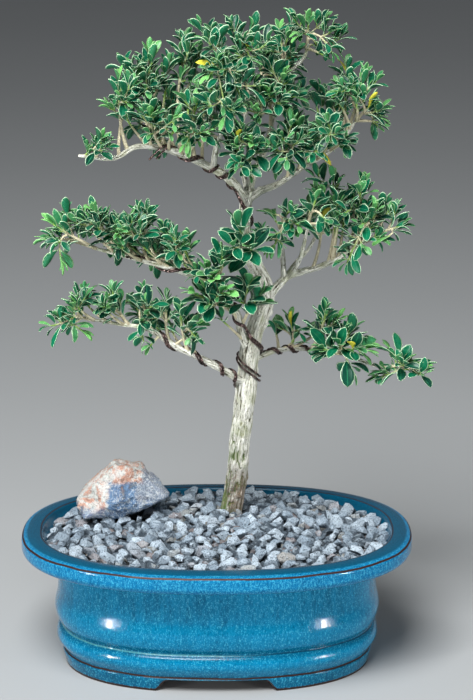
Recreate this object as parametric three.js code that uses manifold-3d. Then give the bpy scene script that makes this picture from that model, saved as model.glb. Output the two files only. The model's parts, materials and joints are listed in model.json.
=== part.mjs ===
// A variegated serissa bonsai in its glazed oval pot, with gravel, an accent stone and training wires.
// Millimetres, +Z up. The pot stands on z = 0, and the origin is the bottom centre of the whole model.
// Places are given from the pot's own centre, and the last line of the file shifts them all at once.

import * as THREE from 'three';
import Module from 'manifold-3d';

const wasm = await Module();
wasm.setup();

// The low right branch reaches past the pot, so the pot stands a little left of the model's centre.
const POT_OFFSET_X = -7.5;
// Neighbouring solids keep this much air between them.
const AIR = 0.3;
// A filling is narrower than a sloping wall by more, so that the air across the slope is right.
const WALL_AIR = 1.7 * AIR;

// The pot: an oval that is squarer than an ellipse, measured over its lip.
const POT_LENGTH = 203;
const POT_WIDTH = 157;
const OVAL_POWER = 2.35;
const OVAL_SIDES = 32;
const FOOT_HEIGHT = 7.1;
const FLOOR_UNDERSIDE = 7;
const FLOOR_TOP = 11;
const ARCH_TOP_WIDTH = 50;
const ARCH_FOOT_WIDTH = 66;
const DRAIN_HOLE_RADIUS = 7;
const DRAIN_HOLE_X = 45;

// Each pair is the inset from the lip's outer curve and the height.
const POT_UNDERSIDE = [
  [30.5, FLOOR_UNDERSIDE],
  [29.5, 0],
];
const POT_OUTSIDE = [
  [21.5, 0],
  [19.6, FOOT_HEIGHT],
  [20.3, 7.9],
  [17, 15],
  [18, 19.3],
  [19, 21],
  [16.4, 30],
  [17.4, 40],
  [17.6, 55],
  [16.4, 58.6],
  [8, 58.2],
  [1.6, 59.8],
  [0, 62.5],
  [0, 66.5],
  [0.6, 68],
  [2.6, 69],
];
const POT_INSIDE = [
  [10, 69.7],
  [12, 66],
  [17, 60],
  [23, 54],
  [25, FLOOR_TOP],
];

// The fillings of the pot.
const SCREEN_SIDE = 22;
const SCREEN_THICK = 0.8;
const SCREEN_HOLES_PER_ROW = 2;
const SOIL_BOTTOM = FLOOR_TOP + SCREEN_THICK + 2 * AIR;
const SOIL_TOP = 58;
const GRAVEL_CROWN = 71;
const GRAVEL_DROP_AT_ENDS = 7.5;
const GRAVEL_DROP_AT_SIDES = 3.5;
// The chips are larger than life, and stand out of the bed as relief.
const CHIP_PITCH = 12.6;
const CHIP_HEIGHT = 3.4;
const CHIP_TILT = 1.5;

// The accent stone: flat facets, each a direction and its distance from the stone's centre.
const STONE_CENTRE = new THREE.Vector3(-49.5, 20, 82);
const STONE_FACETS = [
  [-0.68, 0.02, 0.73, 14.8],
  [0.15, 0.1, 0.98, 15.2],
  [0.62, 0, 0.78, 15.4],
  [0.97, -0.1, -0.2, 24.5],
  [-0.35, -0.8, 0.48, 13],
  [0.35, -0.85, 0.4, 13.5],
  [0.1, -0.85, -0.5, 14],
  [-0.93, -0.2, -0.3, 24.5],
  [-0.12, 0, -0.99, 12.5],
  [0.4, -0.25, -0.88, 12.2],
  [0.1, 0.95, 0.3, 14],
  [-0.6, 0.75, 0.25, 19],
  [0.65, 0.7, 0.3, 19],
];
const STONE_DETAIL = 2;
const STONE_ROUGHNESS = 0.025;

// The woody frame: each limb's route, with its radius at each point.
const LIMBS = {
  trunk: { sides: 10, steps: 24, flutes: 0.07, route: [
    [6, 30, 35, 5.2], [6.2, 29.6, 60, 5.5], [7.3, 28.5, 70.1, 5.6], [9.2, 25.5, 81.3, 5.2],
    [11, 19.5, 94.8, 5.2], [12.1, 11.5, 111.4, 5], [14, 6, 128.4, 5], [15.5, 3, 143, 5.2],
    [17, 4, 161, 4.9], [19, 5, 172, 4.5],
    [22.5, 6, 182, 4.5], [25, 7, 190.5, 4.3], [23.2, 6, 200, 3.7], [19.5, 4, 208, 3.5],
    [16.5, 2, 215, 3.3], [14.3, 2, 224, 3.1], [14.4, 3, 233, 3], [16, 5, 245.5, 2.7],
  ] },
  crown_left: { sides: 6, steps: 11, flutes: 0, route: [
    [15.5, 4, 239.5, 2.9], [10, 1, 249, 2.8], [3, -2, 256, 2.5], [-4, -4, 260, 2.3],
    [-19, -8, 267.5, 2], [-39, -10, 271, 1.6], [-50, -12, 265.5, 1.4], [-68, -14, 267, 0.9],
  ] },
  crown_left_up: { sides: 4, steps: 6, flutes: 0, route: [
    [-1.5, -4, 258.5, 1.8], [0, -7, 269, 1.6], [2.5, -9, 277, 1.4], [5.5, -10, 287, 1.3],
    [10, -10, 294, 1.1], [13.5, -8, 304, 1], [12, -6, 316, 0.8],
  ] },
  crown_centre: { sides: 5, steps: 9, flutes: 0, route: [
    [16.2, 5, 243.5, 2.4], [19, 8, 254, 2.1], [25.5, 15, 268, 1.8], [28, 16, 279, 1.6],
    [30, 15, 289, 1.4], [32, 12, 300, 1.2], [44, 8, 313, 1], [46, 6, 320, 0.8],
  ] },
  crown_right: { sides: 5, steps: 8, flutes: 0, route: [
    [16, 4, 241.5, 2.3], [22.5, 5, 246, 2.1], [30.5, 6, 249, 1.9], [44, 7, 258, 1.6],
    [54, 6, 264, 1.4], [63, 4, 272, 1.1], [71, 0, 284, 0.8],
  ] },
  crown_back: { sides: 4, steps: 6, flutes: 0, route: [
    [15.8, 5, 244, 1.9], [13.5, 16, 256, 1.6], [12, 26, 268, 1.4], [15, 32, 282, 1.1], [23, 34, 294, 0.8],
  ] },
  right_mid: { sides: 6, steps: 9, flutes: 0, route: [
    [24.6, 7, 188.5, 3.3], [32, 8, 197, 2.7], [36, 9, 200.8, 2.4], [43, 8, 203.5, 2.1],
    [52, 6, 206.5, 1.9], [65, 2, 213.5, 1.5], [76.5, -2, 222, 1.1], [82.5, -4, 227, 0.8],
  ] },
  right_mid_up: { sides: 4, steps: 4, flutes: 0, route: [
    [34.5, 9, 198.5, 1.8], [34, 7, 209, 1.5], [33, 3, 220, 1.2], [32, 0, 230, 0.8],
  ] },
  right_mid_back: { sides: 4, steps: 4, flutes: 0, route: [
    [35, 9, 200, 1.6], [41, 15, 207, 1.4], [47.5, 21, 213, 1.1], [52.5, 26, 221, 0.8],
  ] },
  right_mid_front: { sides: 4, steps: 4, flutes: 0, route: [
    [37, 9, 200.5, 1.7], [42, 0, 211, 1.4], [44.5, -9, 223, 1.1], [46, -14, 234, 0.8],
  ] },
  left_mid: { sides: 6, steps: 12, flutes: 0, route: [
    [16.8, 4, 162, 2.4], [12.5, -1, 173.5, 2.3], [10.5, -4, 184, 2.2], [2, -8, 196, 2],
    [-7, -9, 203, 1.8], [-26, -8, 209.5, 1.5], [-46.5, -5, 214.5, 1.1], [-63.5, -5, 219, 0.8],
  ] },
  left_low: { sides: 6, steps: 11, flutes: 0, route: [
    [15.9, 3, 146.5, 2.4], [9.7, -3, 150.6, 2.3], [4.4, -7, 155, 2.2], [-5, -10, 161, 2],
    [-21.5, -13, 170, 1.8], [-35, -12, 178.5, 1.5], [-47, -10, 180, 1.1], [-64.5, -10, 183, 0.8],
  ] },
  right_low: { sides: 5, steps: 11, flutes: 0, route: [
    [16.8, 5, 156, 1.8], [23, 12, 158, 1.6], [32, 17, 160, 1.5], [42, 20, 160, 1.3],
    [53, 21, 159, 1.2], [64, 20, 158, 1.1], [84, 16, 151.5, 0.9], [93, 14, 152, 0.7],
  ] },
};

// The training wires. Each leg follows a limb between two shares of its route, starts at an angle
// round it and sweeps on, in degrees. Round the trunk 0 points right and 90 back. Round a limb 0 is
// its upper side, and the angle grows clockwise for one who looks out along the limb.
const WIRE_RADIUS = 0.75;
const WIRE_SEAT = 0.5;
const WIRE_STEP_DEGREES = 36;
const WIRES = {
  wire_left_mid: [
    { limb: 'trunk', from: 0.478, to: 0.517, angle: 30, sweep: -125 },
    { limb: 'left_mid', from: 0.2, to: 0.84, angle: 270, sweep: -1440 },
  ],
  wire_low_pair: [
    { limb: 'left_low', from: 0.65, to: 0.16, angle: 18, sweep: -1248 },
    { limb: 'trunk', from: 0.42, to: 0.431, angle: 200, sweep: -190 },
    { limb: 'trunk', from: 0.433, to: 0.465, angle: -25, sweep: -150 },
    { limb: 'trunk', from: 0.467, to: 0.466, angle: -205, sweep: -75 },
    { limb: 'right_low', from: 0.22, to: 0.57, angle: -60, sweep: 1080 },
  ],
  wire_crown_left: [
    { limb: 'trunk', from: 0.908, to: 0.965, angle: 60, sweep: -165 },
    { limb: 'crown_left', from: 0.16, to: 0.62, angle: 220, sweep: -1350 },
  ],
};

// Each leafy spray: the limb it grows from, how far along it, and where its shoots end.
const SPRAYS = {
  spray_crown_left_end: { limb: 'crown_left', at: 0.95, tips: [[-63, -16, 270], [-55, -20, 277]] },
  spray_crown_left_high: { limb: 'crown_left', at: 0.74, tips: [
    [-48, -12, 307], [-41, -6, 312], [-53, -16, 293], [-43, -24, 297],
  ] },
  spray_crown_left_mid: { limb: 'crown_left', at: 0.62, tips: [[-31, -8, 319], [-23, -2, 313], [-34, -20, 303]] },
  spray_crown_left_front: { limb: 'crown_left', at: 0.56, tips: [[-32, -30, 291], [-19, -34, 289], [-40, -2, 280]] },
  spray_crown_left_top: { limb: 'crown_left', at: 0.46, tips: [[-14, 8, 325], [-8, 14, 315], [-17, 0, 307]] },
  spray_crown_left_inner: { limb: 'crown_left', at: 0.38, tips: [[-9, -26, 297], [-5, -30, 282], [-14, -28, 277]] },
  spray_crown_left_rear: { limb: 'crown_left', at: 0.52, tips: [[-29, 24, 279], [-21, 30, 293], [-33, 16, 295]] },
  spray_crown_top_left: { limb: 'crown_left_up', at: 0.55, tips: [
    [-2, -10, 329], [3, -18, 316], [-4, -24, 310], [12, -26, 300], [6, -30, 287],
  ] },
  spray_crown_top: { limb: 'crown_left_up', at: 0.95, tips: [
    [8, -4, 331.5], [15, -12, 322], [22, 4, 327], [18, -16, 314],
  ] },
  spray_crown_mid_front: { limb: 'crown_centre', at: 0.42, tips: [[26, -20, 299], [20, -22, 290], [34, -14, 308]] },
  spray_crown_mid_top: { limb: 'crown_centre', at: 0.72, tips: [[32, 12, 327], [27, 4, 318]] },
  spray_crown_top_right: { limb: 'crown_centre', at: 0.96, tips: [
    [46, 6, 332], [51, 8, 319], [59, 2, 316], [41, -2, 326],
  ] },
  spray_crown_right_end: { limb: 'crown_right', at: 0.97, tips: [[78, -4, 292], [83, 2, 283], [69, -8, 298]] },
  spray_crown_right_high: { limb: 'crown_right', at: 0.84, tips: [[75, 6, 307], [65, 12, 311], [60, -14, 300]] },
  spray_crown_right_front: { limb: 'crown_right', at: 0.7, tips: [[64, -16, 275], [55, -20, 285]] },
  spray_crown_right_inner: { limb: 'crown_right', at: 0.42, tips: [
    [40, -10, 283], [32, -20, 278], [46, -14, 276], [34, -22, 267],
  ] },
  spray_crown_right_rear: { limb: 'crown_right', at: 0.6, tips: [[58, 34, 279], [66, 30, 293], [52, 34, 296]] },
  spray_crown_heart: { limb: 'crown_centre', at: 0.1, tips: [[10, -30, 274], [17, -28, 277], [12, -32, 265]] },
  spray_crown_back_left: { limb: 'crown_back', at: 0.5, tips: [[-6, 40, 282], [3, 48, 291], [-19, 34, 288]] },
  spray_crown_back_mid: { limb: 'crown_back', at: 0.75, tips: [[10, 44, 306], [-1, 36, 305]] },
  spray_crown_back_right: { limb: 'crown_back', at: 0.96, tips: [
    [23, 44, 312], [33, 50, 297], [46, 46, 286], [41, 38, 305],
  ] },
  spray_left_mid_end: { limb: 'left_mid', at: 0.97, tips: [
    [-84, -10, 233], [-89, 2, 222], [-77, 0, 238], [-80, -8, 212],
  ] },
  spray_left_mid_outer: { limb: 'left_mid', at: 0.84, tips: [[-62, -14, 241], [-70, 10, 229]] },
  spray_left_mid_fork: { limb: 'left_mid', at: 0.76, tips: [[-53, 14, 227], [-50, -22, 230]] },
  spray_left_mid_high: { limb: 'left_mid', at: 0.66, tips: [[-40, -8, 239], [-47, -20, 231], [-35, 6, 232]] },
  spray_left_mid_front: { limb: 'left_mid', at: 0.46, tips: [[-28, -14, 232], [-16, -18, 227], [-20, -26, 222]] },
  spray_left_mid_rear: { limb: 'left_mid', at: 0.53, tips: [[-34, 14, 215], [-24, 20, 212], [-45, 18, 215]] },
  spray_left_mid_inner: { limb: 'left_mid', at: 0.33, tips: [[-6, -24, 214], [3, -32, 222], [-2, -34, 210]] },
  spray_left_mid_low: { limb: 'left_mid', at: 0.21, tips: [[-13, -24, 200], [-5, -30, 196], [3, -34, 203]] },
  spray_middle_front: { limb: 'trunk', at: 0.8, tips: [[10, -26, 236], [17, -28, 224], [7, -34, 226]] },
  spray_middle_low: { limb: 'left_mid', at: 0.14, tips: [[23, -14, 198], [17, -24, 206], [12, -22, 196]] },
  spray_left_low_end: { limb: 'left_low', at: 0.97, tips: [
    [-79, -10, 186], [-72, -18, 194], [-67, -6, 197], [-86, -14, 180], [-68, -18, 178],
  ] },
  spray_left_low_outer: { limb: 'left_low', at: 0.78, tips: [[-53, -6, 194], [-58, -22, 193], [-46, 4, 189]] },
  spray_left_low_mid: { limb: 'left_low', at: 0.66, tips: [[-37, -10, 199], [-32, -20, 193], [-37, -16, 172]] },
  spray_left_low_rear: { limb: 'left_low', at: 0.54, tips: [[-25, -4, 194], [-29, 8, 184], [-36, 16, 180]] },
  spray_left_low_inner: { limb: 'left_low', at: 0.42, tips: [[-18, -18, 191], [-10, -12, 182], [-10, -20, 177]] },
  spray_right_mid_end: { limb: 'right_mid', at: 0.97, tips: [[95, -4, 230], [92, 0, 238], [85, -6, 223]] },
  spray_right_mid_outer: { limb: 'right_mid', at: 0.82, tips: [
    [80, -8, 240], [87, 6, 241], [73, -14, 234], [65, -10, 211],
  ] },
  spray_right_mid_high: { limb: 'right_mid', at: 0.68, tips: [[75, 2, 252], [69, 10, 245], [64, -14, 240]] },
  spray_right_mid_top: { limb: 'right_mid', at: 0.55, tips: [[59, 6, 255], [52, 0, 248], [61, -8, 244]] },
  spray_right_mid_shoot: { limb: 'right_mid_up', at: 0.95, tips: [
    [37, -10, 239], [28, 2, 235], [42, -18, 233], [28, -10, 218],
  ] },
  spray_right_mid_back: { limb: 'right_mid_back', at: 0.95, tips: [[54, 28, 235], [64, 30, 226], [46, 26, 230]] },
  spray_right_mid_front: { limb: 'right_mid_front', at: 0.95, tips: [[50, -14, 246], [55, -24, 236]] },
  spray_right_mid_rear: { limb: 'right_mid', at: 0.75, tips: [[74, 22, 236], [81, 18, 228]] },
  spray_right_low_inner: { limb: 'right_low', at: 0.33, tips: [[38, 22, 176], [32, 26, 171], [43, 16, 171]] },
  spray_right_low_high: { limb: 'right_low', at: 0.45, tips: [[57, 10, 185], [64, 18, 177], [53, 24, 173]] },
  spray_right_low_front: { limb: 'right_low', at: 0.62, tips: [
    [63, 4, 166], [54, 6, 163], [70, 14, 172], [77, 6, 163], [70, 10, 152],
  ] },
  spray_right_low_end: { limb: 'right_low', at: 0.97, tips: [
    [99, 12, 155], [109, 12, 151], [90, 18, 160], [84, 14, 146],
  ] },
};
const TWIG_RADIUS = 0.95;
const TWIG_TIP_RADIUS = 0.5;
const SIDE_TWIG_RADIUS = 0.65;
const LEAF_LENGTH_MIN = 9.5;
const LEAF_LENGTH_MAX = 12.5;
const LEAF_WIDTH_RATIO = 0.47;
const LEAF_THICK = 0.9;
const LEAF_PAIR_SPACING = 5.5;
const SAME_SPRAY_AIR = 0.1;
const TWIG_FOOT_LENGTH = 0.3;
const BUD_LENGTH = 1.2;
const FORK_CLEARANCE = 2.6;

// A repeatable stream of even random numbers from 0 to 1.
function seededRandom(seed) {
  let state = seed;
  return () => {
    state = (state + 0x6d2b79f5) | 0;
    let mixed = Math.imul(state ^ (state >>> 15), 1 | state);
    mixed = (mixed + Math.imul(mixed ^ (mixed >>> 7), 61 | mixed)) ^ mixed;
    return ((mixed ^ (mixed >>> 14)) >>> 0) / 4294967296;
  };
}

// A closed solid through rings of points. A ring of one point is a pole, and rings run anticlockwise.
function loft(rings) {
  const positions = [];
  const starts = [];
  for (const ring of rings) {
    starts.push(positions.length / 3);
    for (const point of ring) positions.push(point.x, point.y, point.z);
  }
  const triangles = [];
  for (let level = 0; level + 1 < rings.length; level += 1) {
    const lower = rings[level];
    const upper = rings[level + 1];
    const sides = Math.max(lower.length, upper.length);
    for (let side = 0; side < sides; side += 1) {
      const next = (side + 1) % sides;
      const a = starts[level] + (side % lower.length);
      const b = starts[level] + (next % lower.length);
      const c = starts[level + 1] + (next % upper.length);
      const d = starts[level + 1] + (side % upper.length);
      if (lower.length > 1) triangles.push(a, b, c);
      if (upper.length > 1) triangles.push(a, c, d);
    }
  }
  return solidFrom(positions, triangles);
}

function solidFrom(positions, triangles) {
  const mesh = new wasm.Mesh({
    numProp: 3,
    vertProperties: Float32Array.from(positions),
    triVerts: Uint32Array.from(triangles),
  });
  return new wasm.Manifold(mesh);
}

// Joins the triangles of a three.js geometry at their shared corners and makes a solid of them.
function solidFromGeometry(geometry) {
  const position = geometry.getAttribute('position');
  const corners = new Map();
  const positions = [];
  const triangles = [];
  const count = geometry.index ? geometry.index.count : position.count;
  for (let i = 0; i < count; i += 1) {
    const source = geometry.index ? geometry.index.getX(i) : i;
    const point = new THREE.Vector3().fromBufferAttribute(position, source);
    const key = point.toArray().map((value) => Math.round(value * 1e4)).join();
    if (!corners.has(key)) {
      corners.set(key, positions.length / 3);
      positions.push(point.x, point.y, point.z);
    }
    triangles.push(corners.get(key));
  }
  return solidFrom(positions, triangles);
}

function geometryFrom(solid) {
  const mesh = solid.getMesh();
  const geometry = new THREE.BufferGeometry();
  geometry.setAttribute('position', new THREE.BufferAttribute(mesh.vertProperties, 3));
  geometry.setIndex(new THREE.BufferAttribute(mesh.triVerts, 1));
  geometry.computeVertexNormals();
  return geometry;
}

// Short edges left by a join are collapsed, and only the largest body is kept.
const FINEST_EDGE = 0.03;
function wholeBody(solid) {
  const bodies = solid.simplify(FINEST_EDGE).decompose();
  bodies.sort((first, second) => second.volume() - first.volume());
  return bodies[0];
}

function union(solids) {
  return wasm.Manifold.union(solids);
}

// The pot's oval at an inset from the lip's outer curve.
function ovalPoint(inset, angle, z) {
  const along = Math.cos(angle);
  const across = Math.sin(angle);
  const x = (POT_LENGTH / 2 - inset) * Math.sign(along) * Math.abs(along) ** (2 / OVAL_POWER);
  const y = (POT_WIDTH / 2 - inset) * Math.sign(across) * Math.abs(across) ** (2 / OVAL_POWER);
  return new THREE.Vector3(x, y, z);
}

function ovalRing(inset, z) {
  const ring = [];
  for (let side = 0; side < OVAL_SIDES; side += 1) {
    ring.push(ovalPoint(inset, (2 * Math.PI * side) / OVAL_SIDES, z));
  }
  return ring;
}

// A solid that fills the pot from a height upwards and stays clear of its inner wall.
function potFilling(bottom, top, clearance) {
  const wall = [...POT_INSIDE].reverse();
  const insetAt = (z) => {
    for (let i = 0; i + 1 < wall.length; i += 1) {
      const [inset, low] = wall[i];
      const [nextInset, high] = wall[i + 1];
      if (z <= high) return inset + ((nextInset - inset) * (z - low)) / (high - low);
    }
    return wall[wall.length - 1][0];
  };
  const levels = [bottom, ...wall.map(([, z]) => z).filter((z) => z > bottom && z < top), top];
  const rings = levels.map((z) => ovalRing(insetAt(z) + clearance, z));
  return loft([[new THREE.Vector3(0, 0, bottom)], ...rings, [new THREE.Vector3(0, 0, top)]]);
}

function makePot() {
  const rings = [
    [new THREE.Vector3(0, 0, FLOOR_UNDERSIDE)],
    ...[...POT_UNDERSIDE, ...POT_OUTSIDE, ...POT_INSIDE].map(([inset, z]) => ovalRing(inset, z)),
    [new THREE.Vector3(0, 0, FLOOR_TOP)],
  ];
  const drains = [-1, 1].map((end) => {
    const drill = new THREE.CylinderGeometry(DRAIN_HOLE_RADIUS, DRAIN_HOLE_RADIUS, 2 * FLOOR_TOP, 14);
    drill.rotateX(Math.PI / 2);
    drill.translate(end * DRAIN_HOLE_X, 0, FLOOR_TOP / 2);
    return solidFromGeometry(drill);
  });
  return wholeBody(loft(rings).subtract(footArch()).subtract(union(drains)));
}

// The low arch between the feet runs through the foot ring from front to back, with curved shoulders.
function footArch() {
  const crown = FLOOR_UNDERSIDE - 0.2;
  const outline = new THREE.Shape();
  outline.moveTo(-ARCH_FOOT_WIDTH / 2, -1);
  outline.lineTo(ARCH_FOOT_WIDTH / 2, -1);
  outline.bezierCurveTo(
    ARCH_TOP_WIDTH / 2 + 3, 0, ARCH_TOP_WIDTH / 2 + 4, crown, ARCH_TOP_WIDTH / 2 - 4, crown,
  );
  outline.lineTo(4 - ARCH_TOP_WIDTH / 2, crown);
  outline.bezierCurveTo(
    -ARCH_TOP_WIDTH / 2 - 4, crown, -ARCH_TOP_WIDTH / 2 - 3, 0, -ARCH_FOOT_WIDTH / 2, -1,
  );
  const cutter = new THREE.ExtrudeGeometry(outline, { depth: POT_WIDTH, bevelEnabled: false, curveSegments: 5 });
  cutter.rotateX(Math.PI / 2);
  cutter.translate(0, POT_WIDTH / 2, 0);
  return solidFromGeometry(cutter);
}

function box(width, depth, height, x, y, z) {
  const geometry = new THREE.BoxGeometry(width, depth, height);
  geometry.translate(x, y, z);
  return solidFromGeometry(geometry);
}

// A square of plastic mesh over a drain hole, with its openings larger than life.
function makeScreen(end) {
  const level = FLOOR_TOP + AIR + SCREEN_THICK / 2;
  const pitch = SCREEN_SIDE / (SCREEN_HOLES_PER_ROW + 0.4);
  const middle = (SCREEN_HOLES_PER_ROW - 1) / 2;
  const holes = [];
  for (let row = 0; row < SCREEN_HOLES_PER_ROW; row += 1) {
    for (let column = 0; column < SCREEN_HOLES_PER_ROW; column += 1) {
      const x = end * DRAIN_HOLE_X + (column - middle) * pitch;
      const y = (row - middle) * pitch;
      holes.push(box(pitch * 0.66, pitch * 0.66, 3 * SCREEN_THICK, x, y, level));
    }
  }
  return box(SCREEN_SIDE, SCREEN_SIDE, SCREEN_THICK, end * DRAIN_HOLE_X, 0, level).subtract(union(holes));
}

// The route of a limb as a smooth curve, with its radius at any place along it.
function limbCurve(limb) {
  const points = limb.route.map(([x, y, z]) => new THREE.Vector3(x, y, z));
  return new THREE.CatmullRomCurve3(points, false, 'centripetal');
}

function limbRadius(limb, t) {
  const last = limb.route.length - 1;
  const step = Math.min(Math.floor(t * last), last - 1);
  const [, , , near] = limb.route[step];
  const [, , , far] = limb.route[step + 1];
  return near + (far - near) * (t * last - step);
}

// Places along a curve, each with its tangent and two crosswise directions that don't twist.
function stations(curve, ts) {
  let side = new THREE.Vector3(1, 0, 0);
  return ts.map((t) => {
    const tangent = curve.getTangent(t);
    if (Math.abs(side.dot(tangent)) > 0.95) side = new THREE.Vector3(0, 1, 0);
    side = side.clone().addScaledVector(tangent, -side.dot(tangent)).normalize();
    const up = new THREE.Vector3().crossVectors(tangent, side);
    return { point: curve.getPoint(t), tangent, side, up, t };
  });
}

function evenSteps(count) {
  return Array.from({ length: count + 1 }, (_, i) => i / count);
}

function sectionRing(station, sides, radiusAt) {
  const ring = [];
  for (let side = 0; side < sides; side += 1) {
    const angle = (2 * Math.PI * side) / sides;
    const radius = radiusAt(angle);
    ring.push(station.point.clone()
      .addScaledVector(station.side, radius * Math.cos(angle))
      .addScaledVector(station.up, radius * Math.sin(angle)));
  }
  return ring;
}

// A round rod along a curve, with a pole at each end.
function rod(places, sides, radiusAt, endLength) {
  const rings = places.map((place) => sectionRing(place, sides, (angle) => radiusAt(place, angle)));
  const first = places[0];
  const last = places[places.length - 1];
  const start = first.point.clone().addScaledVector(first.tangent, -endLength);
  const end = last.point.clone().addScaledVector(last.tangent, endLength);
  return loft([[start], ...rings, [end]]);
}

// A limb, made thicker by an allowance where it is used to cut its neighbours clear.
function limbSolid(limb, allowance) {
  const places = stations(limbCurve(limb), evenSteps(limb.steps));
  places[0].point.addScaledVector(places[0].tangent, -allowance);
  places[limb.steps].point.addScaledVector(places[limb.steps].tangent, allowance);
  const radiusAt = (place, angle) => {
    const flute = 1 + limb.flutes * Math.cos(3 * angle + 9 * place.t) * (1 + place.t);
    return limbRadius(limb, place.t) * (limb.flutes ? flute : 1) + allowance;
  };
  return rod(places, limb.sides, radiusAt, 0.4);
}

function makeWood(allowance) {
  return union(Object.values(LIMBS).map((limb) => limbSolid(limb, allowance)));
}

function gravelHeight(x, y) {
  const along = x / (POT_LENGTH / 2 - 12);
  const across = y / (POT_WIDTH / 2 - 12);
  return GRAVEL_CROWN - GRAVEL_DROP_AT_ENDS * along * along - GRAVEL_DROP_AT_SIDES * across * across;
}

// The six corners of a chip's cell, shared with the cells round it and nudged off the even pattern.
function cellCorners(column, row) {
  const corners = [];
  for (let i = 0; i < 6; i += 1) {
    const angle = (Math.PI * (2 * i + 1)) / 6;
    const x = CHIP_PITCH * (column + (row % 2 ? 0.5 : 0) + Math.cos(angle) / Math.sqrt(3));
    const y = CHIP_PITCH * ((row * Math.sqrt(3)) / 2 + Math.sin(angle) / Math.sqrt(3));
    const nudge = Math.sin(x * 12.9898 + y * 78.233) * 43758.5453;
    const share = nudge - Math.floor(nudge);
    const shift = 0.16 * CHIP_PITCH;
    corners.push(new THREE.Vector2(x + shift * Math.cos(40 * share), y + shift * Math.sin(40 * share)));
  }
  return corners;
}

// The gravel is one body: a mounded bed whose top is broken into angular three-cornered chips.
function makeGravel(wood, stone) {
  const random = seededRandom(11);
  const bottom = SOIL_TOP + AIR;
  const positions = [];
  const triangles = [];
  const corners = new Map();
  const edges = new Map();
  const addPoint = (x, y, z) => positions.push(x, y, z) / 3 - 1;
  const cornerIndex = ({ x, y }) => {
    const key = `${x.toFixed(3)},${y.toFixed(3)}`;
    if (!corners.has(key)) corners.set(key, addPoint(x, y, gravelHeight(x, y) - CHIP_HEIGHT));
    return corners.get(key);
  };
  const addCell = (column, row) => {
    const cell = cellCorners(column, row);
    const rim = cell.map(cornerIndex);
    const centre = cell.reduce((sum, corner) => sum.add(corner), new THREE.Vector2()).divideScalar(6);
    const tops = [0, 1, 2].map((i) => {
      const reach = 0.5 + 0.25 * random();
      const { x, y } = centre.clone().lerp(cell[2 * i], reach);
      return addPoint(x, y, gravelHeight(x, y) + CHIP_TILT * (random() - 0.7));
    });
    triangles.push(...tops);
    for (let i = 0; i < 6; i += 1) {
      const next = (i + 1) % 6;
      const top = tops[Math.floor(next / 2) % 3];
      triangles.push(rim[i], rim[next], top);
      if (i % 2) triangles.push(rim[i], top, tops[(i - 1) / 2]);
      edges.set(`${rim[i]},${rim[next]}`, [rim[i], rim[next]]);
    }
  };
  const columns = Math.ceil(POT_LENGTH / 2 / CHIP_PITCH) + 1;
  const rows = Math.ceil(POT_WIDTH / 2 / CHIP_PITCH / 0.87) + 1;
  for (let row = -rows; row <= rows; row += 1) {
    for (let column = -columns; column <= columns; column += 1) {
      const { x, y } = ovalShare(column * CHIP_PITCH, row * CHIP_PITCH * 0.87);
      if (x + y < 1.1) addCell(column, row);
    }
  }
  const centre = addPoint(0, 0, bottom);
  const footOf = new Map();
  const foot = (index) => {
    if (!footOf.has(index)) footOf.set(index, addPoint(positions[3 * index], positions[3 * index + 1], bottom));
    return footOf.get(index);
  };
  for (const [from, to] of edges.values()) {
    if (edges.has(`${to},${from}`)) continue;
    triangles.push(to, from, foot(from), to, foot(from), foot(to));
    triangles.push(foot(to), foot(from), centre);
  }
  const inside = potFilling(bottom - 1, GRAVEL_CROWN + 12, WALL_AIR);
  return wholeBody(solidFrom(positions, triangles).intersect(inside).subtract(wood).subtract(stone));
}

// How far out a place is along and across the pot's oval; the two add up to 1 on the inner rim.
function ovalShare(x, y) {
  return new THREE.Vector2(
    Math.abs(x / (POT_LENGTH / 2 - 10)) ** OVAL_POWER,
    Math.abs(y / (POT_WIDTH / 2 - 10)) ** OVAL_POWER,
  );
}

function makeSoil(wood) {
  return wholeBody(potFilling(SOIL_BOTTOM, SOIL_TOP, WALL_AIR).subtract(wood));
}

// The stone's surface in any direction from its centre is the nearest of its flat facets.
function stoneReach(direction) {
  let reach = Infinity;
  for (const [x, y, z, distance] of STONE_FACETS) {
    const facing = direction.x * x + direction.y * y + direction.z * z;
    if (facing > 0) reach = Math.min(reach, (distance * Math.hypot(x, y, z)) / facing);
  }
  const dents = Math.sin(9 * direction.x + 3) + Math.sin(8 * direction.y - 2) + Math.sin(10 * direction.z);
  return reach * (1 + STONE_ROUGHNESS * dents);
}

function makeStone(allowance) {
  const ball = new THREE.IcosahedronGeometry(1, STONE_DETAIL);
  const position = ball.getAttribute('position');
  for (let i = 0; i < position.count; i += 1) {
    const direction = new THREE.Vector3().fromBufferAttribute(position, i).normalize();
    const point = direction.clone().multiplyScalar(stoneReach(direction) + allowance).add(STONE_CENTRE);
    position.setXYZ(i, point.x, point.y, point.z);
  }
  return solidFromGeometry(ball);
}

// Axis points of every limb with their radii, for keeping wires outside the bark.
const AXIS_STEP = 1.5;
const LIMB_AXES = Object.values(LIMBS).flatMap((limb) => {
  const curve = limbCurve(limb);
  const count = Math.ceil(curve.getLength() / AXIS_STEP);
  return evenSteps(count).map((t) => ({
    point: curve.getPoint(t),
    radius: limbRadius(limb, t) * (1 + 2 * limb.flutes * (t < 0.3 ? 0.5 : 1)),
  }));
});

// Moves a wire's point away from any bark that it would touch.
function pushedClear(point) {
  const moved = point.clone();
  for (let pass = 0; pass < 30; pass += 1) {
    let worst = 0;
    let shift = null;
    for (const axis of LIMB_AXES) {
      const away = moved.clone().sub(axis.point);
      const needed = axis.radius + WIRE_RADIUS + WIRE_SEAT - away.length();
      if (needed > worst) {
        worst = needed;
        shift = away.normalize().multiplyScalar(needed);
      }
    }
    if (!shift) return moved;
    moved.add(shift);
  }
  return moved;
}

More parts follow.
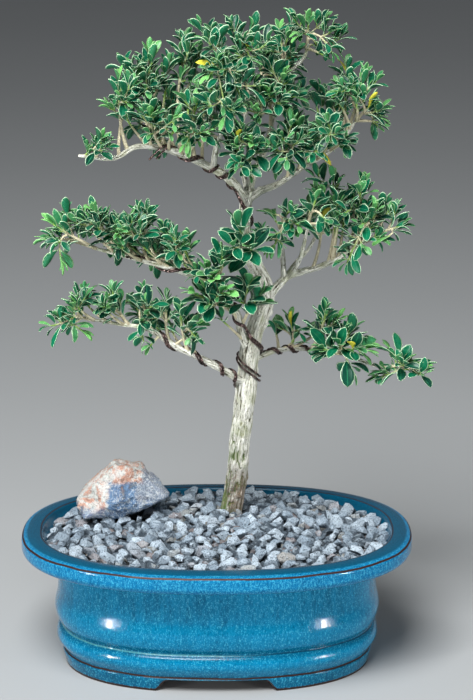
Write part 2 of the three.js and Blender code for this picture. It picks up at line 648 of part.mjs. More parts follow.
// A point beside a limb, off its axis by its radius and the wire's own.
function beside(limb, t, degrees) {
  const curve = limbCurve(limb);
  const tangent = curve.getTangent(t);
  const first = limb === LIMBS.trunk ? new THREE.Vector3(1, 0, 0) : new THREE.Vector3(0, 0, 1);
  first.addScaledVector(tangent, -first.dot(tangent)).normalize();
  const second = new THREE.Vector3().crossVectors(tangent, first);
  const angle = THREE.MathUtils.degToRad(degrees);
  const away = limbRadius(limb, t) + WIRE_RADIUS + WIRE_SEAT;
  return curve.getPoint(t)
    .addScaledVector(first, away * Math.cos(angle))
    .addScaledVector(second, away * Math.sin(angle));
}

function makeWire(legs) {
  const turns = legs.flatMap(({ limb, from, to, angle, sweep }) => {
    const count = Math.round(Math.abs(sweep) / WIRE_STEP_DEGREES);
    return evenSteps(count).map((share) => {
      return pushedClear(beside(LIMBS[limb], from + (to - from) * share, angle + sweep * share));
    });
  });
  const path = new THREE.CatmullRomCurve3(turns, false, 'centripetal');
  return rod(stations(path, evenSteps(turns.length - 1)), 4, () => WIRE_RADIUS, 0.3);
}

// A spray's skin: four-sided twigs, and leaves and side shoots that grow out of the twigs' faces.
class SpraySkin {
  constructor() {
    this.positions = [];
    this.triangles = [];
  }

  addPoint(point) {
    return this.positions.push(point.x, point.y, point.z) / 3 - 1;
  }

  pointAt(index) {
    return new THREE.Vector3().fromArray(this.positions, 3 * index);
  }

  middle(indices) {
    const sum = new THREE.Vector3();
    for (const index of indices) sum.add(this.pointAt(index));
    return sum.divideScalar(indices.length);
  }

  addRing(place, radius) {
    return sectionRing(place, 4, () => radius).map((point) => this.addPoint(point));
  }

  // The face between two rings on one of the four sides, as a loop that runs anticlockwise from outside.
  face(lower, upper, side) {
    const next = (side + 1) % 4;
    return [lower[side], lower[next], upper[next], upper[side]];
  }

  closeFace([a, b, c, d]) {
    this.triangles.push(a, b, c, a, c, d);
  }

  // Closes a ring with a pole; a start is closed the other way round from an end.
  closeRing(ring, pole, isStart) {
    const tip = this.addPoint(pole);
    for (let side = 0; side < 4; side += 1) {
      const next = (side + 1) % 4;
      if (isStart) this.triangles.push(ring[next], ring[side], tip);
      else this.triangles.push(ring[side], ring[next], tip);
    }
  }

  // A leaf grows out of a face: its underside from the lower edge and its upper side from the upper.
  addLeaf([a, b, c, d], leaf) {
    const [leftLow, leftHigh, tip, rightHigh, rightLow] = leaf.outline.map((point) => this.addPoint(point));
    const ridge = this.addPoint(leaf.ridge);
    const upperLoop = [d, leftLow, leftHigh, tip, rightHigh, rightLow, c];
    upperLoop.forEach((point, i) => {
      this.triangles.push(ridge, point, upperLoop[(i + 1) % upperLoop.length]);
    });
    this.triangles.push(tip, leftHigh, rightHigh, leftHigh, leftLow, rightHigh, rightHigh, leftLow, rightLow);
    this.triangles.push(leftLow, a, rightLow, a, b, rightLow, b, c, rightLow, d, a, leftLow);
  }
}

// The outline of a blade, in shares of its length and width, and the ridge along its middle.
const BLADE_OUTLINE = [[0.36, -0.5], [0.74, -0.38], [1, 0], [0.74, 0.38], [0.36, 0.5]];
function leafBlade(base, direction, across, length) {
  const face = new THREE.Vector3().crossVectors(direction, across);
  const width = length * LEAF_WIDTH_RATIO;
  const place = (x, y, z) => base.clone()
    .addScaledVector(direction, x * length).addScaledVector(across, y * width).addScaledVector(face, z);
  return {
    base,
    outline: BLADE_OUTLINE.map(([x, y]) => place(x, y, 0)),
    ridge: place(0.5, 0, LEAF_THICK),
    foot: place(0.12, 0, 0),
  };
}

// The blade alone as a closed solid, from just off the twig, for measuring its air.
function bladeSolid(leaf) {
  const loop = [leaf.foot, ...leaf.outline];
  const points = [...loop, leaf.ridge];
  const triangles = loop.flatMap((_, i) => [loop.length, i, (i + 1) % loop.length]);
  for (let i = 1; i + 1 < loop.length; i += 1) triangles.push(0, i + 1, i);
  return solidFrom(points.flatMap((point) => point.toArray()), triangles);
}

// The shoots of a spray: one main shoot to the first tip, and side shoots that leave it in turn.
function sprayShoots(spray) {
  const curve = limbCurve(LIMBS[spray.limb]);
  const start = curve.getPointAt(spray.at);
  const tips = spray.tips.map(([x, y, z]) => new THREE.Vector3(x, y, z));
  const reach = tips[0].clone().sub(start);
  const leaving = curve.getTangentAt(spray.at).multiplyScalar(reach.length() * 0.12);
  const bow = start.clone().addScaledVector(reach, 0.4).add(leaving);
  const main = { curve: new THREE.QuadraticBezierCurve3(start, bow, tips[0]), radius: TWIG_RADIUS, forks: [] };
  main.pairs = 2;
  for (let i = 1; i < tips.length; i += 1) {
    const share = 0.3 + (0.45 * i) / tips.length;
    const fork = main.curve.getPointAt(share);
    const tangent = main.curve.getTangentAt(share);
    const side = tips[i].clone().sub(fork);
    const outward = side.clone().addScaledVector(tangent, -side.dot(tangent)).normalize();
    const sideBow = fork.clone().addScaledVector(tangent.add(outward), 0.33 * side.length());
    const sideCurve = new THREE.QuadraticBezierCurve3(fork, sideBow, tips[i]);
    const child = { curve: sideCurve, radius: SIDE_TWIG_RADIUS, forks: [], pairs: i % 2 ? 1 : 2 };
    main.forks.push({ share, outward, child });
  }
  return main;
}

function shootAndForks(shoot) {
  return [shoot, ...shoot.forks.map(({ child }) => child)];
}

function twigSolid(shoot) {
  const radiusAt = (place) => shoot.radius + (TWIG_TIP_RADIUS - shoot.radius) * place.t;
  return rod(stations(shoot.curve, evenSteps(4)), 4, radiusAt, 0.3);
}

// Whether a solid keeps a gap to every solid in a list.
function isClear({ solid, box: own }, others, gap) {
  return others.every((other) => {
    for (const axis of [0, 1, 2]) {
      if (own.min[axis] > other.box.max[axis] + gap) return true;
      if (own.max[axis] < other.box.min[axis] - gap) return true;
    }
    return solid.minGap(other.solid, 2 * gap) >= gap;
  });
}

function boxed(solid) {
  return { solid, box: solid.boundingBox() };
}

// The places on a shoot where something grows out of it, from its foot to its tip.
function shootEvents(shoot) {
  const length = shoot.curve.getLength();
  const events = shoot.forks.map((fork) => ({ share: fork.share, fork }));
  for (let pair = 0; pair < shoot.pairs; pair += 1) {
    const fromTip = BUD_LENGTH + pair * LEAF_PAIR_SPACING;
    if (length - fromTip > FORK_CLEARANCE + BUD_LENGTH) events.push({ share: 1 - fromTip / length, pair });
  }
  events.sort((first, second) => first.share - second.share);
  return events.filter((event, i) => {
    const before = i ? events[i - 1] : null;
    return !before || (event.share - before.share) * length > 2.2 * BUD_LENGTH || event.fork;
  });
}

// Grows one shoot from a ring: plain stretches, and short stretches whose faces carry leaves or shoots.
function growShoot(skin, shoot, firstRing, side, site) {
  const length = shoot.curve.getLength();
  const radiusAt = (share) => shoot.radius + (TWIG_TIP_RADIUS - shoot.radius) * share;
  const half = BUD_LENGTH / 2 / length;
  let lower = firstRing;
  let across = side;
  const nextRing = (share) => {
    const tangent = shoot.curve.getTangentAt(share);
    across = across.clone().addScaledVector(tangent, -across.dot(tangent)).normalize();
    const up = new THREE.Vector3().crossVectors(tangent, across);
    const place = { point: shoot.curve.getPointAt(share), side: across, up };
    return skin.addRing(place, radiusAt(share));
  };
  for (const event of shootEvents(shoot)) {
    const foot = nextRing(event.share - half);
    for (let i = 0; i < 4; i += 1) skin.closeFace(skin.face(lower, foot, i));
    const head = nextRing(Math.min(1, event.share + half));
    for (let i = 0; i < 4; i += 1) growFace(skin, shoot, event, skin.face(foot, head, i), i, site);
    lower = head;
  }
  const end = shoot.curve.getPointAt(1).addScaledVector(shoot.curve.getTangentAt(1), TWIG_TIP_RADIUS);
  skin.closeRing(lower, end, false);
}

function growFace(skin, shoot, event, face, side, site) {
  const axisPoint = shoot.curve.getPointAt(event.share);
  const outward = skin.middle(face).sub(axisPoint).normalize();
  if (event.fork && faceNearest(event.fork.outward, outward)) {
    const first = skin.pointAt(face[0]).sub(skin.middle(face));
    growShoot(skin, event.fork.child, face, first, site);
    return;
  }
  const leaf = event.pair === undefined || (side + event.pair) % 2 ? null : clearLeaf(skin, shoot, event, face, site);
  if (leaf) skin.addLeaf(face, leaf);
  else skin.closeFace(face);
}

// Of a twig's four faces, only one points within an eighth of a turn of a direction.
function faceNearest(direction, outward) {
  return direction.dot(outward) > Math.SQRT1_2;
}

// A leaf on a face, tried at a few slants until it keeps its air to everything near it.
function clearLeaf(skin, shoot, event, face, site) {
  const tangent = shoot.curve.getTangentAt(event.share);
  const base = skin.middle(face);
  const outward = base.clone().sub(shoot.curve.getPointAt(event.share)).normalize();
  const length = LEAF_LENGTH_MIN + (LEAF_LENGTH_MAX - LEAF_LENGTH_MIN) * site.random();
  for (const slant of event.pair ? [1.05, 0.8, 1.3] : [0.72, 0.5, 0.95]) {
    const direction = tangent.clone().multiplyScalar(Math.cos(slant)).addScaledVector(outward, Math.sin(slant));
    const across = skin.pointAt(face[1]).sub(skin.pointAt(face[0]));
    across.addScaledVector(direction, -across.dot(direction)).normalize();
    const leaf = leafBlade(base, direction, across, length);
    const blade = boxed(bladeSolid(leaf));
    const ownTwigs = site.own.filter((twig) => twig.shoot !== shoot);
    if (isClear(blade, site.others, AIR) && isClear(blade, [...ownTwigs, ...site.leaves], SAME_SPRAY_AIR)) {
      site.leaves.push(blade);
      return leaf;
    }
  }
  return null;
}

// The share of a shoot's way out at which its foot has left the bark behind by the usual air.
function shareClearOf(wood, shoot) {
  const step = 0.004;
  let share = step;
  while (share < 0.5) {
    const foot = rod(stations(shoot.curve, [share, share + step]), 4, () => shoot.radius, TWIG_FOOT_LENGTH);
    if (foot.minGap(wood, 2 * AIR) >= AIR) return share;
    share += step;
  }
  return share;
}

// Every spray is grown in turn, and each of its leaves is set clear of all that other nodes hold.
function makeSprays(wood, fixed) {
  const random = seededRandom(7);
  const twigs = Object.entries(SPRAYS).map(([name, spray]) => {
    const main = sprayShoots(spray);
    return { name, main, own: shootAndForks(main).map((shoot) => ({ shoot, ...boxed(twigSolid(shoot)) })) };
  });
  const grown = [];
  return twigs.map(({ name, main, own }) => {
    const otherTwigs = twigs.filter((other) => other.name !== name).flatMap((other) => other.own);
    const site = { random, own, leaves: [], others: [...fixed, boxed(wood), ...otherTwigs, ...grown] };
    const skin = new SpraySkin();
    const [first] = stations(main.curve, [shareClearOf(wood, main)]);
    const ring = skin.addRing(first, main.radius);
    skin.closeRing(ring, first.point.clone().addScaledVector(first.tangent, -TWIG_FOOT_LENGTH), true);
    growShoot(skin, main, ring, first.side, site);
    grown.push(...site.leaves);
    return [name, solidFrom(skin.positions, skin.triangles)];
  });
}

const COLOURS = {
  pot: ['#1488a6', 0.18, 0],
  drain_screen: ['#26292b', 0.6, 0],
  soil: ['#3b2d22', 0.95, 0],
  gravel: ['#8b9296', 0.85, 0],
  accent_stone: ['#b9a698', 0.85, 0],
  trunk: ['#a89f86', 0.85, 0],
  wire: ['#4a352c', 0.45, 0.6],
  spray: ['#3f7a3a', 0.5, 0],
};

function namedMesh(name, look, solid) {
  const [color, roughness, metalness] = COLOURS[look];
  const mesh = new THREE.Mesh(
    geometryFrom(solid),
    new THREE.MeshStandardMaterial({ color, roughness, metalness }),
  );
  mesh.name = name;
  return mesh;
}

function makeBonsai() {
  const wood = wholeBody(makeWood(0));
  const thickWood = makeWood(AIR + 0.05);
  const stone = makeStone(0);
  const gravel = makeGravel(thickWood, makeStone(AIR));
  const wires = Object.entries(WIRES).map(([name, wire]) => [name, makeWire(wire)]);
  const fixed = [stone, gravel, ...wires.map(([, solid]) => solid)].map(boxed);
  const sprays = makeSprays(wood, fixed);

  const bonsai = new THREE.Group();
  bonsai.add(namedMesh('pot', 'pot', makePot()));
  bonsai.add(namedMesh('drain_screen_left', 'drain_screen', makeScreen(-1)));
  bonsai.add(namedMesh('drain_screen_right', 'drain_screen', makeScreen(1)));
  bonsai.add(namedMesh('soil', 'soil', makeSoil(thickWood)));
  bonsai.add(namedMesh('gravel', 'gravel', gravel));
  bonsai.add(namedMesh('accent_stone', 'accent_stone', stone));
  bonsai.add(namedMesh('trunk', 'trunk', wood));
  for (const [name, solid] of wires) bonsai.add(namedMesh(name, 'wire', solid));
  for (const [name, solid] of sprays) bonsai.add(namedMesh(name, 'spray', solid));
  bonsai.position.x = POT_OFFSET_X;
  return bonsai;
}

export default makeBonsai();
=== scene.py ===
"""A variegated serissa bonsai in a glazed oval pot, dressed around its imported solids.

Sizes in the classes are millimetres from the pot's own centre, as in the part's source. They
become metres in the row frame only where a mesh is made. Each class builds one sub-assembly,
and main() builds them in order.
"""

from __future__ import annotations

import json
import logging
import math
import random
from collections.abc import Callable, Iterable, Sequence
from dataclasses import dataclass, field
from enum import Enum
from functools import cached_property, reduce

import bmesh
import bpy
import numpy as np
from bpy.types import Collection, Material, Mesh, Node, NodeSocket, NodesModifier, NodeTree, Object
from mathutils import Matrix, Vector, noise

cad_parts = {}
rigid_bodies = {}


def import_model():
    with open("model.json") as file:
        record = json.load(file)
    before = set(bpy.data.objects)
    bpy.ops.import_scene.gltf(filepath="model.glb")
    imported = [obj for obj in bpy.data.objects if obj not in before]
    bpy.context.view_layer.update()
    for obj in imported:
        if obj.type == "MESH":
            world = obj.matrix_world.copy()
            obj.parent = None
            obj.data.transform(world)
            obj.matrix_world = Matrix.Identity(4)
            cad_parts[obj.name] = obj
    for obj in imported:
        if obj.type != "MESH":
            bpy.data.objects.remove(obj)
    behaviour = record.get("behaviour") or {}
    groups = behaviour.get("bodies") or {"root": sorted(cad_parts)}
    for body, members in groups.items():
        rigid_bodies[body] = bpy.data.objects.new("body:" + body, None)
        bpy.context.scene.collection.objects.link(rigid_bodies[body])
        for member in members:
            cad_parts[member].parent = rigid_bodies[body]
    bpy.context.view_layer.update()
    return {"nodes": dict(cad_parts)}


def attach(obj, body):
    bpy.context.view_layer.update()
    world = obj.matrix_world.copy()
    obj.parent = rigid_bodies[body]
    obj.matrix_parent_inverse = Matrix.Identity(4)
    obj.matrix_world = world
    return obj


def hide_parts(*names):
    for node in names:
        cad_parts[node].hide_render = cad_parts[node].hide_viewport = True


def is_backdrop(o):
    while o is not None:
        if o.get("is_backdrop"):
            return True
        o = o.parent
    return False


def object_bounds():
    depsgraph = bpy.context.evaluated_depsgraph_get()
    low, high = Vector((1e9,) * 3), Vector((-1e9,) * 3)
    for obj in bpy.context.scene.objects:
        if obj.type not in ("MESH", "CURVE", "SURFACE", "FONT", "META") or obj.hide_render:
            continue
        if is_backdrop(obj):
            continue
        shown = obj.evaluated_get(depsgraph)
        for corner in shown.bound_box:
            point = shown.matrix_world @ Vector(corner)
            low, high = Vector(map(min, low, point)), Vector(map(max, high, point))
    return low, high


LOG = logging.getLogger("bonsai")
MM = 0.001
POT_OFFSET = np.array([-7.5, 0.0, 0.0])
UP = Vector((0.0, 0.0, 1.0))
DRAIN_X = 45.0
BARK_SHARE = 0.8
BOX_MARGIN = 0.8
WOOD_SEED = 31
GRAVEL_SEED = 5
FIRST_SPRAY_SEED = 70
Pair = tuple[float, float]
Triple = tuple[float, float, float]
Quad = tuple[float, float, float, float]
Face = tuple[int, ...]


class Slot(Enum):
    """The record's material slots."""

    POT = "glazed_pot"
    SCREEN = "drain_screen"
    SOIL = "soil"
    GRAVEL = "gravel"
    STONE = "accent_stone"
    BARK = "bark"
    WIRE = "training_wire"
    FOLIAGE = "foliage"


# ---- Node trees ----


def open_socket(sockets: Iterable[NodeSocket], key: int | str) -> NodeSocket:
    """Finds a socket of a node.

    Args:
        sockets: the node's inputs or outputs.
        key: the socket's place, or its name among those that are in use.

    Returns:
        The socket.
    """
    if isinstance(key, int):
        return sockets[key]
    return next(socket for socket in sockets if socket.name == key and socket.enabled)


def sum_with(operation: str, reflected: bool = False) -> Callable[[Sock, Sock | float], Sock]:
    """Makes the method behind one operator of Sock.

    Args:
        operation: the Math node's operation.
        reflected: whether the socket stands on the operator's right.

    Returns:
        A method that adds the Math node.
    """

    def combine(self: Sock, other: Sock | float) -> Sock:
        """Adds the Math node for this socket and the other term."""
        terms = (other, self) if reflected else (self, other)
        return self.maker.math(operation, *terms)

    return combine


class Sock:
    """An output socket that can stand in a Python expression."""

    def __init__(self, maker: NodeMaker, socket: NodeSocket) -> None:
        """Keeps the socket with the maker of its tree."""
        self.maker = maker
        self.socket = socket

    __add__ = sum_with("ADD")
    __radd__ = sum_with("ADD", True)
    __sub__ = sum_with("SUBTRACT")
    __rsub__ = sum_with("SUBTRACT", True)
    __mul__ = sum_with("MULTIPLY")
    __rmul__ = sum_with("MULTIPLY", True)
    __truediv__ = sum_with("DIVIDE")


class NodeMaker:
    """Adds nodes to one tree, each from its type, its settings and its sockets' values."""

    def __init__(self, tree: NodeTree) -> None:
        """Keeps the tree."""
        self.tree = tree

    def node(self, kind: str, settings: dict | None = None, inputs: dict | None = None) -> Node:
        """Adds a node.

        Args:
            kind: the node's type.
            settings: its properties, which are set first.
            inputs: a value, a Sock or a list of Socks for each socket.

        Returns:
            The node.
        """
        made = self.tree.nodes.new(kind)
        for name, value in (settings or {}).items():
            setattr(made, name, value)
        for key, value in (inputs or {}).items():
            socket = open_socket(made.inputs, key)
            sources = value if isinstance(value, list) else [value]
            if isinstance(sources[0], Sock):
                for source in sources:
                    self.tree.links.new(source.socket, socket)
            else:
                socket.default_value = value
        return made

    def get(
        self, kind: str, settings: dict | None = None, inputs: dict | None = None, output: int | str = 0
    ) -> Sock:
        """Adds a node and gives one of its outputs."""
        return Sock(self, open_socket(self.node(kind, settings, inputs).outputs, output))

    def math(self, operation: str, *terms: Sock | float) -> Sock:
        """Adds a Math node and gives its value."""
        return self.get("ShaderNodeMath", {"operation": operation}, dict(enumerate(terms)))


def paint(code: str) -> Quad:
    """Turns a screen colour such as #8090a0 into Blender's linear colour.

    Args:
        code: the colour as # and six hexadecimal digits.

    Returns:
        Red, green, blue and an alpha of 1.
    """
    parts = [int(code[i : i + 2], 16) / 255 for i in (1, 3, 5)]
    linear = [p / 12.92 if p <= 0.04045 else ((p + 0.055) / 1.055) ** 2.4 for p in parts]
    return (*linear, 1.0)


class Dye(NodeMaker):
    """Builds one procedural material."""

    def __init__(self, name: str) -> None:
        """Starts an empty material.

        Args:
            name: the material's name.
        """
        self.material = bpy.data.materials.new(name)
        self.material.use_nodes = True
        self.material.node_tree.nodes.clear()
        super().__init__(self.material.node_tree)
        self.place = self.get("ShaderNodeTexCoord", None, None, "Object")

    def mark(self, name: str, output: str = "Vector") -> Sock:
        """Reads an attribute of the mesh."""
        return self.get("ShaderNodeAttribute", {"attribute_name": name}, None, output)

    def parts(self, vector: Sock) -> tuple[Sock, Sock, Sock]:
        """Splits a vector into its three numbers.

        Args:
            vector: the vector.

        Returns:
            Its x, y and z.
        """
        split = self.node("ShaderNodeSeparateXYZ", None, {"Vector": vector})
        x, y, z = (Sock(self, output) for output in split.outputs)
        return x, y, z

    def stretch(self, vector: Sock, factors: Triple) -> Sock:
        """Scales a vector along each axis."""
        return self.get("ShaderNodeVectorMath", {"operation": "MULTIPLY"}, {0: vector, 1: factors})

    def noise(
        self, where: Sock, scale: float, detail: float = 2.0, rough: float = 0.5, warp: float = 0.0
    ) -> Sock:
        """Adds a noise texture and gives its strength."""
        values = {"Vector": where, "Scale": scale, "Detail": detail, "Roughness": rough, "Distortion": warp}
        return self.get("ShaderNodeTexNoise", None, values, "Fac")

    def cells(self, where: Sock, scale: float) -> Sock:
        """Adds a cell texture and gives the distance."""
        return self.get("ShaderNodeTexVoronoi", None, {"Vector": where, "Scale": scale}, "Distance")

    def soft(self, value: Sock, low: float, high: float) -> Sock:
        """Gives 0 below low and 1 above high, with a smooth step between."""
        limits = {"Value": value, "From Min": low, "From Max": high}
        return self.get("ShaderNodeMapRange", {"interpolation_type": "SMOOTHSTEP"}, limits)

    def line(self, value: Sock, at: float, half: float) -> Sock:
        """Gives 1 where a value is near a number, and 0 past half a line's width from it."""
        return 1 - self.soft(self.math("ABSOLUTE", value - at), half * 0.6, half * 1.4)

    def most(self, *values: Sock) -> Sock:
        """Gives the greatest of some values."""
        return reduce(lambda great, value: self.math("MAXIMUM", great, value), values)

    def blend(self, share: Sock | float, first: Sock | str, second: Sock | str) -> Sock:
        """Mixes two colours."""
        a, b = (paint(term) if isinstance(term, str) else term for term in (first, second))
        return self.get("ShaderNodeMix", {"data_type": "RGBA"}, {"Factor": share, "A": a, "B": b}, "Result")

    def coats(self, colour: Sock | str, *coats: tuple[Sock | float, Sock | str]) -> Sock:
        """Lays colours over each other.

        Args:
            colour: the lowest colour.
            coats: a share and a colour for each coat, from the lowest up.

        Returns:
            What they look like together.
        """
        for share, coat in coats:
            colour = self.blend(share, colour, coat)
        return colour

    def surface(
        self,
        colour: Sock,
        roughness: Sock | float,
        relief: Sock | None = None,
        depth: float = 0.0,
        **constants: float,
    ) -> Material:
        """Finishes the material.

        Args:
            colour: the base colour.
            roughness: the roughness.
            relief: the height that a bump reads, if any.
            depth: the bump's depth in metres.
            constants: numbers for the shader's other sockets, with _ for a space.

        Returns:
            The material.
        """
        values: dict = {"Base Color": colour, "Roughness": roughness}
        for name, value in constants.items():
            values[name.replace("_", " ")] = value
        if relief is not None:
            values["Normal"] = self.get("ShaderNodeBump", None, {"Height": relief, "Distance": depth})
        shader = self.get("ShaderNodeBsdfPrincipled", None, values)
        self.node("ShaderNodeOutputMaterial", None, {"Surface": shader})
        return self.material


class Growth(NodeMaker):
    """Builds one Geometry Nodes tree with named inputs."""

    def __init__(self, name: str, inputs: dict[str, str]) -> None:
        """Starts a tree whose inputs are given by name and kind.

        Args:
            name: the tree's name.
            inputs: the kind of each input, such as Float or Object, by its name.
        """
        tree = bpy.data.node_groups.new(name, "GeometryNodeTree")
        super().__init__(tree)
        for label, kind in {"Geometry": "Geometry", **inputs}.items():
            tree.interface.new_socket(label, in_out="INPUT", socket_type=f"NodeSocket{kind}")
        tree.interface.new_socket("Geometry", in_out="OUTPUT", socket_type="NodeSocketGeometry")
        self.start = self.node("NodeGroupInput")

    def given(self, name: str) -> Sock:
        """Gives one of the tree's inputs."""
        return Sock(self, open_socket(self.start.outputs, name))

    def stored(self, name: str, kind: str) -> Sock:
        """Reads a named attribute."""
        return self.get("GeometryNodeInputNamedAttribute", {"data_type": kind}, {"Name": name}, "Attribute")

    def shapes(self, name: str) -> Sock:
        """Gives the objects of a collection as separate instances."""
        values = {"Collection": self.given(name), "Separate Children": True, "Reset Children": True}
        return self.get("GeometryNodeCollectionInfo", None, values)

    def made_real(self, instances: Sock, finish: Sock) -> Sock:
        """Realizes instances and gives them their finish."""
        real = self.get("GeometryNodeRealizeInstances", None, {"Geometry": instances})
        return self.get("GeometryNodeSetMaterial", None, {"Geometry": real, "Material": finish})

    def end(self, *geometry: Sock) -> NodeTree:
        """Joins what the tree made and closes it.

        Args:
            geometry: what the tree made.

        Returns:
            The tree.
        """
        joined = self.get("GeometryNodeJoinGeometry", None, {0: list(geometry)[::-1]})
        self.node("NodeGroupOutput", None, {0: joined})
        return self.tree


# ---- Meshes and pieces ----


def make_mesh(name: str, points: Sequence, faces: Sequence, smooth: bool = True) -> Mesh:
    """Makes a mesh in the row frame.

    Args:
        name: the mesh's name.
        points: millimetres from the pot's centre.
        faces: corners of each face, anticlockwise from outside.
        smooth: whether its faces are shaded smooth.

    Returns:
        The mesh, in metres.
    """
    mesh = bpy.data.meshes.new(name)
    mesh.from_pydata(((np.array(points, float) + POT_OFFSET) * MM).tolist(), [], faces)
    if smooth:
        mesh.shade_smooth()
    mesh.update()
    return mesh


def add_object(name: str, mesh: Mesh, *finishes: Material) -> Object:
    """Puts a mesh into the scene with its materials.

    Args:
        name: the object's name.
        mesh: its mesh.
        finishes: its materials, in their order.

    Returns:
        The object.
    """
    for finish in finishes:
        mesh.materials.append(finish)
    made = bpy.data.objects.new(name, mesh)
    bpy.context.scene.collection.objects.link(made)
    return made


def mesh_points(mesh: Mesh) -> np.ndarray:
    """Gives a mesh's points in millimetres from the pot's centre.

    Args:
        mesh: the mesh.

    Returns:
        One row of three numbers for each point.
    """
    flat = np.zeros(len(mesh.vertices) * 3)
    mesh.vertices.foreach_get("co", flat)
    return flat.reshape(-1, 3) / MM - POT_OFFSET


def put_points(mesh: Mesh, points: np.ndarray) -> None:
    """Moves a mesh's points to new places in millimetres from the pot's centre."""
    mesh.vertices.foreach_set("co", ((points + POT_OFFSET) * MM).ravel())
    mesh.update()


def put_mark(mesh: Mesh, name: str, values: Sequence, kind: str = "FLOAT") -> None:
    """Stores a number or a vector at each point of a mesh.

    Args:
        mesh: the mesh.
        name: the mark's name.
        values: one value for each point.
        kind: FLOAT or FLOAT_VECTOR.
    """
    layer = mesh.attributes.new(name, kind, "POINT")
    key = "vector" if kind == "FLOAT_VECTOR" else "value"
    layer.data.foreach_set(key, np.array(values, float).ravel())


def set_inputs(grower: NodesModifier, values: dict) -> None:
    """Sets a modifier's inputs by the identifiers of their names.

    Args:
        grower: the modifier.
        values: the values, by the inputs' names.
    """
    for item in grower.node_group.interface.items_tree:
        if item.in_out == "INPUT" and item.name in values:
            grower[item.identifier] = values[item.name]


def frozen(name: str, source: Object) -> Object:
    """Makes a plain piece of what an object's modifiers give, and deletes the object.

    Args:
        name: the piece's name.
        source: the object that carries the modifiers.

    Returns:
        The piece.
    """
    bpy.context.view_layer.update()
    graph = bpy.context.evaluated_depsgraph_get()
    mesh = bpy.data.meshes.new_from_object(
        source.evaluated_get(graph), preserve_all_data_layers=True, depsgraph=graph
    )
    mesh.name = name
    bpy.data.objects.remove(source)
    return add_object(name, mesh)


def settle(piece: Object, slot: Slot, *nodes: str) -> None:
    """Lets a finished piece ride on the object in place of CAD nodes, and reports it.

    Args:
        piece: the finished piece.
        slot: its material slot; not used.
        nodes: the CAD nodes it stands for.
    """
    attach(piece, "root")
    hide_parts(*nodes)
    count = sum(len(face.vertices) - 2 for face in piece.data.polygons)
    LOG.info("%s: %d triangles", piece.name, count)


def shape_set(name: str, meshes: Sequence[Mesh]) -> Collection:
    """Puts template meshes into a collection of their own, outside the scene.

    Args:
        name: the collection's name.
        meshes: the templates.

    Returns:
        The collection.
    """
    group = bpy.data.collections.new(name)
    for number, mesh in enumerate(meshes):
        group.objects.link(bpy.data.objects.new(f"{name}_{number:02d}", mesh))
    return group


def soft_share(value: float, low: float, high: float) -> float:
    """Gives the smooth step of a value between two limits."""
    share = min(1.0, max(0.0, (value - low) / (high - low)))
    return share * share * (3 - 2 * share)


# ---- Paths ----


class Path:
    """A smooth line in space, with a share t of its way and a share u of its length."""

    DIVISIONS = 200

    def at(self, t: float) -> Vector:
        """Gives the point at a share of the way."""
        raise NotImplementedError

    def tangent(self, t: float) -> Vector:
        """Gives the direction at a share of the way."""
        step = 1e-4
        return (self.at(min(t + step, 1.0)) - self.at(max(t - step, 0.0))).normalized()

    @cached_property
    def lengths(self) -> np.ndarray:
        """The length run at even shares of the way.

        Returns:
            One length for each share.
        """
        points = np.array([self.at(i / self.DIVISIONS) for i in range(self.DIVISIONS + 1)])
        steps = np.linalg.norm(np.diff(points, axis=0), axis=1)
        return np.concatenate([[0.0], np.cumsum(steps)])

    @property
    def length(self) -> float:
        """The whole length."""
        return float(self.lengths[-1])

    def share(self, u: float) -> float:
        """Turns a share of the length into a share of the way."""
        even = np.linspace(0.0, 1.0, self.DIVISIONS + 1)
        return float(np.interp(u * self.length, self.lengths, even))


class Bow(Path):
    """A quadratic curve with one handle."""

    DIVISIONS = 40

    def __init__(self, start: Vector, handle: Vector, end: Vector) -> None:
        """Keeps the ends and the handle."""
        self.ends = (start, handle, end)

    def at(self, t: float) -> Vector:
        """Gives the point at a share of the way."""
        start, handle, end = self.ends
        return start * (1 - t) ** 2 + handle * (2 * t * (1 - t)) + end * t**2


class Spline(Path):
    """A centripetal spline through points, as in the part's source."""

    def __init__(self, points: Sequence[Sequence[float]]) -> None:
        """Keeps the points and one more beyond each end.

        Args:
            points: the points, of which the first three numbers count.
        """
        self.points = [Vector(point[:3]) for point in points]
        first = self.points[0] * 2 - self.points[1]
        last = self.points[-1] * 2 - self.points[-2]
        self.padded = [first, *self.points, last]

    def at(self, t: float) -> Vector:
        """Gives the point at a share of the way.

        Args:
            t: the share of the way.

        Returns:
            The point.
        """
        way = t * (len(self.points) - 1)
        step = min(int(way), len(self.points) - 2)
        before, start, end, after = self.padded[step : step + 4]
        spans = (start - before, end - start, after - end)
        gaps = [max(math.sqrt(span.length), 1e-4) for span in spans]
        leave = (start - before) / gaps[0] - (end - before) / (gaps[0] + gaps[1]) + (end - start) / gaps[1]
        arrive = (end - start) / gaps[1] - (after - start) / (gaps[1] + gaps[2]) + (after - end) / gaps[2]
        leave, arrive = leave * gaps[1], arrive * gaps[1]
        w = way - step
        return (
            start
            + leave * w
            + (3 * (end - start) - 2 * leave - arrive) * w**2
            + (2 * (start - end) + leave + arrive) * w**3
        )


def ring_faces(first: int, rings: int, sides: int, capped: bool = True) -> list[Face]:
    """Gives the faces of stacked rings that end in one point, and start from one if capped.

    Args:
        first: the number of the first ring's first point.
        rings: how many rings there are.
        sides: how many points a ring has.
        capped: whether the point before the first ring closes the start.

    Returns:
        The faces, each as its points' numbers.
    """
    faces: list[Face] = []
    end = first + rings * sides
    for side in range(sides):
        following = (side + 1) % sides
        if capped:
            faces.append((first - 1, first + following, first + side))
        for low in range(first, end - sides, sides):
            faces.append((low + side, low + following, low + sides + following, low + sides + side))
        faces.append((end - sides + side, end - sides + following, end))
    return faces


@dataclass
class Place:
    """A point of a path with its direction and two crosswise directions."""

    point: Vector
    tangent: Vector
    side: Vector
    up: Vector
    t: float


